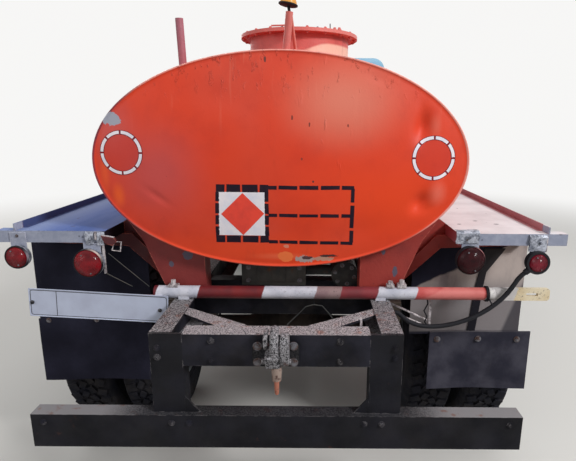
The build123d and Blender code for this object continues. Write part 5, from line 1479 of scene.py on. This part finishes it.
def buildTail():
    t = tail
    chance = random.Random(3)
    plates = Shape("lampPlates", "galvanised", "paleSteel")
    for x0, x1, z0, z1 in t["lampPlates"]:
        plates.box((x0, t["deckRear"] - 0.004, z0), (x1, t["deckRear"], z1))
    for x0, x1, z0, z1 in t["strips"]:
        plates.box((x0, t["deckRear"] - 0.0055, z0), (x1, t["deckRear"] - 0.0005, z1), 1)
    plates.build("chassis", "chassis_black", ["lamp_brackets"])

    s = Shape("tailFittings", "boltSteel", "clampMetal", "blackRubber", "machineGrey", "fittingEnamel", "paleSteel")
    for x0, x1, z0, z1 in t["barClamps"]:
        s.box((x0, t["barY"] - 0.014, z0), (x1, t["barY"] + 0.016, (z0 + z1) / 2), 5)
        s.turned([(0, 0), (0, 0.011), (z1 - z0, 0.010), (z1 - z0, 0)], ((x0 + x1) / 2, t["barY"], z0), (0, 0, 1), 5, 6)
    for x in (0.806, 0.812):  # tie round the bar
        ring = arcPoints((x, t["barY"], t["barZ"]), t["barRadius"] + 0.003, 0, 345, 20, "yz")
        s.tube(ring, 0.0035, 2, closed=True)
    s.tube([(0.810, t["barY"] - 0.028, 0.955), (0.816, t["barY"] - 0.036, 0.940), (0.828, t["barY"] - 0.034, 0.922)], 0.003, 2)
    for spot in t["deckClamps"]:
        bentPlate(s, *spot, chance, 1)
    # small bracket and wire frame at the left deck's inner corner
    rear = t["deckRear"] - 0.006
    s.prism([(x, rear, z) for x, z in t["brackets"]], (0, -0.010, 0), 4)
    s.tube([(x, rear - 0.006, z) for x, z in t["brackets"][:2]], 0.004, 5, 8)
    s.tube([(x, rear - 0.006, z) for x, z in t["frame"]], 0.003, 5, 8, closed=True)
    for (x0, z0), (x1, z1) in t["stays"]:
        s.rod((x0, rear, z0), (x1, -2.246, z1), 0.0016, 3, sides=8)
    s.tube(t["loop"], 0.0025, 3, sides=8)
    s.rod((0.125, -2.242, 0.908), (0.125, -2.242, 0.937), 0.002, 2, sides=8)
    s.prism([(x, -2.500, z) for x, z in t["tab"]], (0, 0.0015, 0), 5)
    # rods, strap and loose wire under the bar's right half
    s.rod((0.424, -2.200, 0.908), (0.602, -2.200, 0.823), 0.0045, 5)
    s.rod((0.424, -2.205, 0.876), (0.602, -2.205, 0.800), 0.003, 5)
    s.box((0.596, -2.206, 0.795), (0.606, -2.202, 0.942), 5)
    s.tube([(0.583, -2.214, 0.938), (0.588, -2.214, 0.905), (0.574, -2.214, 0.875), (0.587, -2.214, 0.850), (0.580, -2.212, 0.825),
            (0.597, -2.208, 0.803)], 0.003, 2, 8)
    for side in (-1, 1):  # splash plate between the outrigger, the deck and the tank
        s.prism([(side * x, -2.062, z) for x, z in t["splash"]], (0, 0.003, 0), 4)
    # valve wheel on the discharge box
    wheel = [(x, -2.040 + (z - 1.058), 1.058) for x, y, z in arcPoints((0, -2.040, 1.058), 0.034, 0, 345, 23)]
    s.tube(wheel, 0.0045, 3, closed=True)
    for turn in (0, 120, 240):
        a = math.radians(turn)
        s.rod((0, -2.040, 1.058), (0.033 * math.cos(a), -2.040 + 0.033 * math.sin(a), 1.058), 0.0035, 3, sides=8)
    # ribs and end cover of the discharge box
    for x in (-0.120, -0.060, 0.000, 0.050):
        s.box((x - 0.004, -2.1235, 0.955), (x + 0.004, -2.1195, 1.038), 3)
    s.box((-0.172, -2.1225, 0.953), (0.084, -2.1195, 0.960), 3)
    s.box((-0.172, -2.1225, 1.033), (0.084, -2.1195, 1.040), 3)
    s.build("chassis", "chassis_black", crease=40)

    top = Shape("neckFittings", "neckEnamel", "boltSteel")  # latch bar, pin and two nuts on the cover's rear edge
    top.tube([(-0.107, -1.345, 2.096), (-0.107, -1.345, 2.112), (-0.029, -1.350, 2.114), (-0.029, -1.350, 2.096)], 0.0045, 0, 8)
    top.rod((0.203, -1.330, 2.096), (0.203, -1.330, 2.126), 0.003, 1, 8)
    for x in (0.228, 0.252):
        top.rod((x, -1.315, 2.096), (x, -1.315, 2.110), 0.008, 0, 6)
    top.build("chassis", "tank_orange")


buildTail()


# Tow hook: flange, tongue bent over its pin, two cheeks and the drop pin in its sleeve
hook = {"flange": (0.078, 0.044, 0.012), "middleZ": 0.870, "faceY": -2.578,
        "tongue": [(-2.592, 0.962), (-2.622, 0.963), (-2.642, 0.950), (-2.650, 0.925), (-2.651, 0.900), (-2.644, 0.880)],
        "ear": [(-2.594, 0.957), (-2.622, 0.957), (-2.638, 0.944), (-2.640, 0.926), (-2.626, 0.912), (-2.594, 0.910)],
        "cheek": [(-2.592, 0.846), (-2.592, 0.952), (-2.620, 0.960), (-2.640, 0.952), (-2.652, 0.932), (-2.654, 0.880),
                  (-2.642, 0.856), (-2.620, 0.846)],
        "block": [(-2.592, 0.844), (-2.592, 0.880), (-2.636, 0.880), (-2.646, 0.866), (-2.640, 0.844)]}


def buildHook():
    wide, high, corner = hook["flange"]
    z, y = hook["middleZ"], hook["faceY"]
    plates = Shape("hookPlates", "hookSteel")
    loop = []
    for sx, sz in ((1, 1), (-1, 1), (-1, -1), (1, -1)):
        ends = [(sx * wide, z + sz * (high - corner)), (sx * (wide - corner), z + sz * high)]
        loop += ends if sx == sz else ends[::-1]
    plates.prism([(px, y, pz) for px, pz in loop], (0, -0.014, 0))
    plates.prism([(0.017, py, pz) for py, pz in hook["cheek"]], (0.029, 0, 0))
    plates.prism([(-0.030, py, pz) for py, pz in hook["block"]], (0.047, 0, 0))
    plates.build("chassis", "chassis_black", ["tow_hook"], bevel=0.004)
    bars = Shape("hookBars", "hookSteel")
    bars.turned([(0.014, 0), (0.014, 0.036), (0.034, 0.034), (0.034, 0)], (0, y, z), (0, -1, 0), sides=32)
    bars.tube([(-0.001, py, pz) for py, pz in hook["tongue"]], 0.0145, sides=12)
    bars.tube([(-0.029, py, pz) for py, pz in hook["ear"]], 0.0078, sides=10)
    bars.tube([(-0.022, -2.648, 0.884), (-0.018, -2.653, 0.888), (0.004, -2.653, 0.890), (0.009, -2.648, 0.894)], 0.012, sides=10)
    bars.rod((-0.044, -2.622, 0.862), (0.052, -2.622, 0.862), 0.009)
    bars.turned([(0, 0), (0, 0.0165), (0.012, 0.0175), (0.050, 0.0150), (0.052, 0.0100), (0.052, 0)], (0.005, -2.622, 0.846), (0, 0, -1))
    bars.turned([(0, 0), (0, 0.0085), (0.046, 0.0075), (0.052, 0.0050), (0.052, 0)], (0.005, -2.622, 0.796), (0, 0, -1), sides=24)
    bars.build("chassis", "chassis_black")


buildHook()


# Spring U-bolts, tank strap bands and exhaust clamps: x, y, low z, high z, half width, half spacing along y
under = {"uBolts": [(0.385, 1.830, 0.340, 0.503, 0.038, 0.043), (0.470, -1.470, 0.388, 0.652, 0.044, 0.070)],
         "rod": 0.007}


def buildUnderside():
    s = Shape("springBolts", "boltSteel", "axleBlack")
    for x, y, low, high, half, spacing in under["uBolts"]:
        for side in (-1, 1):
            for along in (-spacing, spacing):
                cx, cy = side * x, y + along
                top = arcPoints((cx - half + 0.012, cy, high - 0.012), 0.012, 180, 90, 4)
                top += arcPoints((cx + half - 0.012, cy, high - 0.012), 0.012, 90, 0, 4)
                s.tube([(cx - half, cy, low)] + top + [(cx + half, cy, low)], under["rod"])
                for edge in (-half, half):
                    s.turned([(0, 0), (0, 0.013), (0.011, 0.013), (0.011, 0)], (cx + edge, cy, low + 0.002), (0, 0, 1), 0, 6)
            s.box((side * x - half - 0.014, y - spacing - 0.014, low + 0.013), (side * x + half + 0.014, y + spacing + 0.014, low + 0.021), 1)
    s.build("chassis", "spring_steel")

    band = Shape("tankStraps", "boltSteel", "blackRubber")
    for y in (-0.58, -0.24):
        for x0, x1, z0, z1 in ((-0.852, -0.478, 0.849, 0.853), (-0.8535, -0.8495, 0.572, 0.800), (-0.800, -0.530, 0.517, 0.521)):
            band.box((x0, y - 0.018, z0), (x1, y + 0.018, z1))
    band.turned([(0, 0), (0, 0.046), (0.016, 0.046), (0.022, 0.040), (0.030, 0.038), (0.034, 0.030), (0.034, 0)],
                (-0.700, -0.410, 0.848), (0, 0, 1), 1, 24)
    for y, radius, x, z in ((0.285, 0.0865, 0.585, 0.620), (-0.225, 0.0865, 0.585, 0.620), (0.70, 0.030, 0.585, 0.620)):
        band.turned([(-0.008, radius - 0.003), (-0.008, radius), (0.008, radius), (0.008, radius - 0.003), (-0.008, radius - 0.003)],
                    (x, y, z), (0, 1, 0), 0, 36)
    band.build("chassis", "chassis_black")


buildUnderside()
print("stage: bolts and small fittings")


# Cab trim: rubbers round the glass, handles, wipers, gutters, mirror faces, headlamps
cab = {"beltZ": 1.500, "roofZ": 2.155, "beltHalf": 0.865, "roofHalf": 0.700, "sillHalf": 0.845, "floorZ": 0.950,
       "rearY": 0.150, "cowlY": 1.400, "rake": 0.190, "rearRake": 0.025, "rubber": 0.011,
       # window outlines: corner points and corner radius
       "windscreen": ([(-0.600, 1.565), (0.600, 1.565), (0.545, 2.030), (-0.545, 2.030)], 0.070),
       "rearWindow": ([(-0.400, 1.620), (0.400, 1.620), (0.400, 1.930), (-0.400, 1.930)], 0.060),
       "doorWindow": ([(0.410, 1.560), (1.158, 1.560), (1.062, 1.985), (0.410, 1.985)], 0.045)}


def cabSideX(z):
    if z > cab["beltZ"]:
        share = (z - cab["beltZ"]) / (cab["roofZ"] - cab["beltZ"])
        return cab["beltHalf"] + (cab["roofHalf"] - cab["beltHalf"]) * share
    share = (z - cab["floorZ"]) / (cab["beltZ"] - cab["floorZ"])
    return cab["sillHalf"] + (cab["beltHalf"] - cab["sillHalf"]) * share


def screenY(z):
    return cab["cowlY"] - cab["rake"] * (z - cab["beltZ"]) / (cab["roofZ"] - cab["beltZ"])


def rearWallY(z):
    return cab["rearY"] + cab["rearRake"] * (z - cab["beltZ"]) / (cab["roofZ"] - cab["beltZ"])


def roundedLoop(points, radius, steps=6, shrink=0.0):  # 2D outline with its corners rounded
    points = [Vector(p) for p in points]
    middle = sum(points, Vector((0, 0))) / len(points)
    loop = []
    for i, corner in enumerate(points):
        before, after = (points[i - 1] - corner).normalized(), (points[(i + 1) % len(points)] - corner).normalized()
        half = before.angle(after) / 2
        reach = radius / math.tan(half)
        centre = corner + (before + after).normalized() * radius / math.sin(half)
        start, end = corner + before * reach - centre, corner + after * reach - centre
        for k in range(steps + 1):
            arm = start.slerp(end, k / steps, start) if start.length and end.length else start
            loop.append(centre + arm.normalized() * radius)
    return [p + (middle - p).normalized() * shrink for p in loop]


def buildWindowRubbers():
    s = Shape("cabWindowRubbers", "blackRubber")
    for key, wall, out in (("windscreen", screenY, 0.002), ("rearWindow", rearWallY, -0.002)):
        outline, radius = cab[key]
        route = [(p[0], wall(p[1]) + out, p[1]) for p in roundedLoop(outline, radius)]
        s.tube(route, cab["rubber"], sides=8, closed=True)
    s.build("chassis", "cab_blue")
    outline, radius = cab["doorWindow"]
    for side, body in ((1, "door_right"), (-1, "door_left")):
        s = Shape(body + "_rubber", "blackRubber")
        s.tube([(side * (cabSideX(p[1]) + 0.001), p[0], p[1]) for p in roundedLoop(outline, radius)], cab["rubber"] * 0.8,
               sides=8, closed=True)
        s.tube([(side * (cabSideX(z) + 0.001), 0.790, z) for z in (1.560, 1.70, 1.85, 1.985)], 0.006, sides=6)
        s.build(body, "cab_blue")


buildWindowRubbers()

trim = {"handleY": 0.400, "handleZ": 1.400, "wiperPivotX": 0.330, "gutterZ": 2.061,
        "flange": [(2.462, 1.100), (2.462, 1.204), (2.200, 1.206), (1.900, 1.206), (1.900, 1.186), (2.250, 1.178), (2.440, 1.122)],
        "apron": [(0.474, 0.930), (0.474, 0.690), (0.500, 0.665), (0.560, 0.665), (0.640, 0.700), (0.640, 0.930)]}


def buildCabTrim():
    for side, body in ((1, "door_right"), (-1, "door_left")):
        s = Shape(body + "_handle", "chrome", "blackRubber", "cabBlue")
        x, y, z = cabSideX(trim["handleZ"]), trim["handleY"], trim["handleZ"]
        s.turned([(0, 0), (0, 0.024), (0.004, 0.022), (0.006, 0.012), (0.026, 0.010), (0.026, 0)], (side * x, y, z), (side, 0, 0), 0, 24)
        grip = [(side * (x + 0.026), y - 0.018, z), (side * (x + 0.034), y + 0.01, z), (side * (x + 0.036), y + 0.07, z),
                (side * (x + 0.030), y + 0.115, z - 0.004)]
        s.tube(grip, 0.0085, 0)
        s.turned([(0, 0), (0, 0.010), (0.003, 0.009), (0.003, 0)], (side * cabSideX(1.33), y, 1.33), (side, 0, 0), 0, 16)
        low, high = (0.36, 1.060), (1.22, 1.060)  # pressed rib along the door
        s.tube([(side * (cabSideX(1.06) + 0.0005), low[0] + (high[0] - low[0]) * i / 12, 1.06) for i in range(13)], 0.006, 2, 8)
        s.tube([(side * (cabSideX(1.48) + 0.0005), low[0] + (high[0] - low[0]) * i / 12, 1.48) for i in range(13)], 0.006, 2, 8)
        s.build(body, "cab_blue")

    s = Shape("cabFittings", "cabBlue", "blackRubber", "chrome", "dashGrey")
    for side in (-1, 1):
        z, x = trim["gutterZ"], cabSideX(trim["gutterZ"])
        s.prism([(side * (x - 0.002), 0.235, z - 0.002), (side * (x + 0.016), 0.235, z + 0.002), (side * (x + 0.018), 0.235, z + 0.010),
                 (side * (x - 0.002), 0.235, z + 0.006)], (0, 0.925, 0), 0)
        pivotX = side * trim["wiperPivotX"]
        foot = Vector((pivotX, screenY(1.545) + 0.012, 1.545))
        tip = Vector((pivotX - side * 0.19, screenY(1.615) + 0.018, 1.615))
        s.turned([(0, 0), (0, 0.012), (0.016, 0.010), (0.018, 0)], (pivotX, screenY(1.545), 1.545), (0, 1, 0.27), 1, 16)
        s.tube([foot + Vector((0, 0.004, 0)), (foot + tip) / 2 + Vector((0, 0.014, 0)), tip], 0.0035, 1, 8)
        across = Vector((side * -0.085, -0.003, 0.011))
        s.tube([tip - across * 1.5, tip + Vector((0, 0.004, 0)), tip + across * 1.5], 0.0045, 1, 8)
        s.tube([(side * 0.472, 1.44 + 0.07 * i, 1.2065) for i in range(9)], 0.005, 1, 8)
    # tread strips on the running boards
    for side in (-1, 1):
        for k in range(9):
            x = side * (0.640 + 0.032 * k)
            s.box((min(x, x + side * 0.010), 0.365, 0.6195), (max(x, x + side * 0.010), 1.220, 0.6235), 1)
    # aprons between the radiator and the wings
    for side in (-1, 1):
        s.prism([(side * x, 2.405, z) for x, z in trim["apron"]], (0, 0.004, 0), 0)
    # flanges that fill the gap between the hood's edge and the falling wing tops
    for side in (-1, 1):
        loop = [(side * (0.476 + 0.0887 * (2.462 - y)), y, z) for y, z in trim["flange"]]
        s.prism(loop, (side * 0.004, 0, 0), 0)
    # cowl vent flap
    s.box((-0.150, 1.392, 1.4995), (0.150, 1.402, 1.5035), 0)
    s.build("chassis", "cab_blue")

    m = Shape("mirrorFaces", "mirrorGlass")
    for side in (-1, 1):
        loop = roundedLoop([(0.943, 1.648), (1.087, 1.648), (1.087, 1.902), (0.943, 1.902)], 0.022)
        m.prism([(side * p[0], 1.3522, p[1]) for p in loop], (0, -0.0022, 0))
    m.build("chassis", "mirror_black")


buildCabTrim()

headlamp = {"x": 0.715, "z": 0.955, "radius": 0.105, "face": 2.545}


def buildHeadlamps():
    h = headlamp
    s = Shape("headlampSet", "cabBlue", "chrome", "lensClear")
    for side in (-1, 1):
        origin, ahead = (side * h["x"], 0, h["z"]), (0, 1, 0)
        s.turned([(2.442, 0), (2.442, h["radius"] - 0.002), (2.536, h["radius"] - 0.001), (2.540, 0)], origin, ahead, 0)
        rim = [(2.532, 0.105), (2.532, 0.112)]
        rim += [(2.545 + 0.013 * math.sin(a), 0.101 + 0.013 * math.cos(a)) for a in (math.pi / 2 * i / 8 for i in range(9))]
        rim += [(2.556, 0.094), (2.548, 0.092), (2.548, 0)]
        s.turned(rim, origin, ahead, 1)
        dome = [(2.550 + 0.022 * math.sin(math.pi / 2 * i / 12), 0.093 * math.cos(math.pi / 2 * i / 12)) for i in range(13)]
        s.turned(dome, origin, ahead, 2)
        for k in range(-6, 7):  # flutes in the glass
            x = k * 0.0125
            reach = math.sqrt(0.088 ** 2 - x * x)
            route = []
            for i in range(9):
                z = -reach + 2 * reach * i / 8
                r = math.hypot(x, z) / 0.093
                route.append((side * h["x"] + x, 2.5505 + 0.022 * math.sqrt(max(0, 1 - r * r)), h["z"] + z))
            s.tube(route, 0.0018, 2, 6)
    s.build("chassis", "headlamp_glass", ["headlamps"])


buildHeadlamps()


# Bench seat: two stuffed cushions on a painted box
bench = {"base": ((-0.690, 0.430, 0.980), (0.690, 0.900, 1.185)), "channels": 9, "depth": 0.007, "roundness": 5.0}


def cushion(name, low, high, lean):
    power = bench["roundness"]
    bm = bmesh.new()
    bmesh.ops.create_cube(bm, size=2)
    bmesh.ops.subdivide_edges(bm, edges=bm.edges, cuts=23, use_grid_fill=True)
    low, high = Vector(low), Vector(high)
    middle, half = (low + high) / 2, (high - low) / 2
    for v in bm.verts:
        x, y, z = v.co
        size = (abs(x) ** power + abs(y) ** power + abs(z) ** power) ** (1 / power)
        x, y, z = x / size, y / size, z / size
        groove = 1 - 0.5 * (1 + math.cos(2 * math.pi * bench["channels"] * (x + 1) / 2))
        sink = bench["depth"] * (1 - groove)
        v.co = middle + Vector((x * half.x, y * half.y, z * half.z))
        if lean:
            v.co.y -= sink if y > 0 else 0
            v.co.y += lean * (v.co.z - low.z) / (high.z - low.z)
        else:
            v.co.z -= sink if z > 0 else 0
    mesh = bpy.data.meshes.new(name)
    bm.to_mesh(mesh)
    bm.free()
    mesh.materials.append(finishes["seatVinyl"])
    return place(name, mesh, "chassis", "seat_vinyl", (), 0.0, 80)


def buildBench():
    s = Shape("benchBase", "dashGrey")
    s.box(*bench["base"])
    base = s.build("chassis", "seat_vinyl", bevel=0.008)
    seatPad = cushion("benchCushion", (-0.720, 0.400, 1.170), (0.720, 0.930, 1.316), 0)
    backPad = cushion("benchBack", (-0.720, 0.235, 1.300), (0.720, 0.385, 1.800), -0.030)
    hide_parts("seat")


buildBench()

# Radiator fins across the core, grown along a row of points
finTree = Growth("radiatorFins", {"Material": ("Material", None), "Height": ("Float", 0.296), "Thickness": ("Float", 0.0012),
                                  "Depth": ("Float", 0.064)})
fin = finTree.add("GeometryNodeMeshCube", {"Size": finTree.add("ShaderNodeCombineXYZ", {
    "X": finTree.given["Thickness"], "Y": finTree.given["Depth"], "Z": finTree.given["Height"]})})
finTree.close(finTree.add("GeometryNodeInstanceOnPoints", {"Points": finTree.given["Points"], "Instance": fin}))
finRow = [((-0.284 + 0.0065 * k, 2.3415, 1.000), (0, 0, 1), 1.0) for k in range(88)]
finTree.grow("radiatorFins", finRow, "chassisBlack", "chassis", "radiator_black")
print("stage: cab trim and inside")


# Floor, world and lamps
studio = {"floorSize": 80, "floorTone": (222, 220, 216), "bounceTone": (122, 118, 112), "skyLight": 0.40, "skyShown": 0.93,
          "fade": (4.0, 9.0)}  # metres from the middle over which the floor turns into the sky's tone


def buildStudio():
    bpy.ops.mesh.primitive_plane_add(size=studio["floorSize"])
    floor = bpy.context.object
    floor.name = "studioFloor"
    f = Finish("floorPale", 0.9, Specular_IOR_Level=0.1)
    path = f.add("ShaderNodeLightPath").outputs
    straight = f.math("MAXIMUM", f.math("MAXIMUM", path["Is Camera Ray"], path["Is Glossy Ray"]), path["Is Transmission Ray"])
    f.colour(f.mix(straight, tone(*studio["bounceTone"]), tone(*studio["floorTone"])))
    away = f.ramp(f.reach((0, 0, 0), (1, 1, 1)), *studio["fade"])
    glow = f.add("ShaderNodeEmission", {"Color": (1, 0.995, 0.985, 1), "Strength": studio["skyShown"]})
    blend = f.add("ShaderNodeMixShader", {0: f.math("MULTIPLY", straight, away), 1: f.shader.outputs[0], 2: glow.outputs[0]})
    f.feed(f.tree.nodes["Material Output"].inputs["Surface"], blend.outputs[0])
    floor.data.materials.append(f.material)

    world = bpy.data.worlds.new("studioWorld")
    scene.world = world
    world.use_nodes = True
    nodes, links = world.node_tree.nodes, world.node_tree.links
    light = nodes["Background"]
    light.inputs[0].default_value = (1, 1, 1, 1)
    light.inputs[1].default_value = studio["skyLight"]
    shown = nodes.new("ShaderNodeBackground")
    shown.inputs[0].default_value = (1, 0.995, 0.985, 1)
    shown.inputs[1].default_value = studio["skyShown"]
    path = nodes.new("ShaderNodeLightPath")
    seen = nodes.new("ShaderNodeMath")
    seen.operation = "MAXIMUM"
    seenMore = nodes.new("ShaderNodeMath")
    seenMore.operation = "MAXIMUM"
    links.new(path.outputs["Is Camera Ray"], seen.inputs[0])
    links.new(path.outputs["Is Glossy Ray"], seen.inputs[1])
    links.new(seen.outputs[0], seenMore.inputs[0])
    links.new(path.outputs["Is Transmission Ray"], seenMore.inputs[1])
    blend = nodes.new("ShaderNodeMixShader")
    links.new(seenMore.outputs[0], blend.inputs[0])
    links.new(light.outputs[0], blend.inputs[1])
    links.new(shown.outputs[0], blend.inputs[2])
    links.new(blend.outputs[0], nodes["World Output"].inputs["Surface"])

    # name, place, aim, side length in metres, watts
    lamps = [
        ("keyLamp", (6.2, -6.6, 6.0), (0.0, -1.6, 1.2), 1.6, 570),
        ("fillLamp", (-6.0, -5.5, 4.2), (0.0, -1.6, 1.0), 4.0, 100),
        ("frontLamp", (-4.5, 7.5, 5.5), (0.0, 1.6, 1.2), 3.6, 215),
        ("topLamp", (1.5, 0.0, 7.5), (0.0, 0.0, 1.0), 4.0, 90),
    ]
    for name, place, aim, size, power in lamps:
        data = bpy.data.lights.new(name, "AREA")
        data.size, data.energy = size, power
        lamp = bpy.data.objects.new(name, data)
        lamp.location = place
        lamp.rotation_euler = (Vector(aim) - Vector(place)).to_track_quat("-Z", "Y").to_euler()
        scene.collection.objects.link(lamp)
    scene.view_settings.view_transform = "Standard"


# The photograph's camera: place in metres, angles in degrees, focal length and optical centre in pixels
cameraSet = {
    "place": (0.121, -4.03, 1.617), "pitchDown": 13.20, "yaw": 0.06, "roll": 0.38,
    "focalPixels": 475.96, "centreX": 312.70, "centreY": 234.30, "width": 576, "height": 461, "film": 36,
}


def buildCamera():
    c = cameraSet
    pitch, yaw, roll = (math.radians(c[k]) for k in ("pitchDown", "yaw", "roll"))
    ahead = Vector((-math.sin(yaw) * math.cos(pitch), math.cos(yaw) * math.cos(pitch), -math.sin(pitch)))
    flatRight = Vector((math.cos(yaw), math.sin(yaw), 0))
    flatUp = flatRight.cross(ahead)
    right = math.cos(roll) * flatRight + math.sin(roll) * flatUp
    up = -math.sin(roll) * flatRight + math.cos(roll) * flatUp
    data = bpy.data.cameras.new("photoCamera")
    data.sensor_width = c["film"]
    data.lens = c["focalPixels"] / c["width"] * c["film"]
    data.shift_x = (c["width"] / 2 - c["centreX"]) / c["width"]
    data.shift_y = (c["centreY"] - c["height"] / 2) / c["width"]
    camera = bpy.data.objects.new("photoCamera", data)
    camera.matrix_world = Matrix.Translation(c["place"]) @ Matrix((right, up, -ahead)).transposed().to_4x4()
    scene.collection.objects.link(camera)
    scene.camera = camera


buildStudio()
buildCamera()
print("stage: studio and camera")
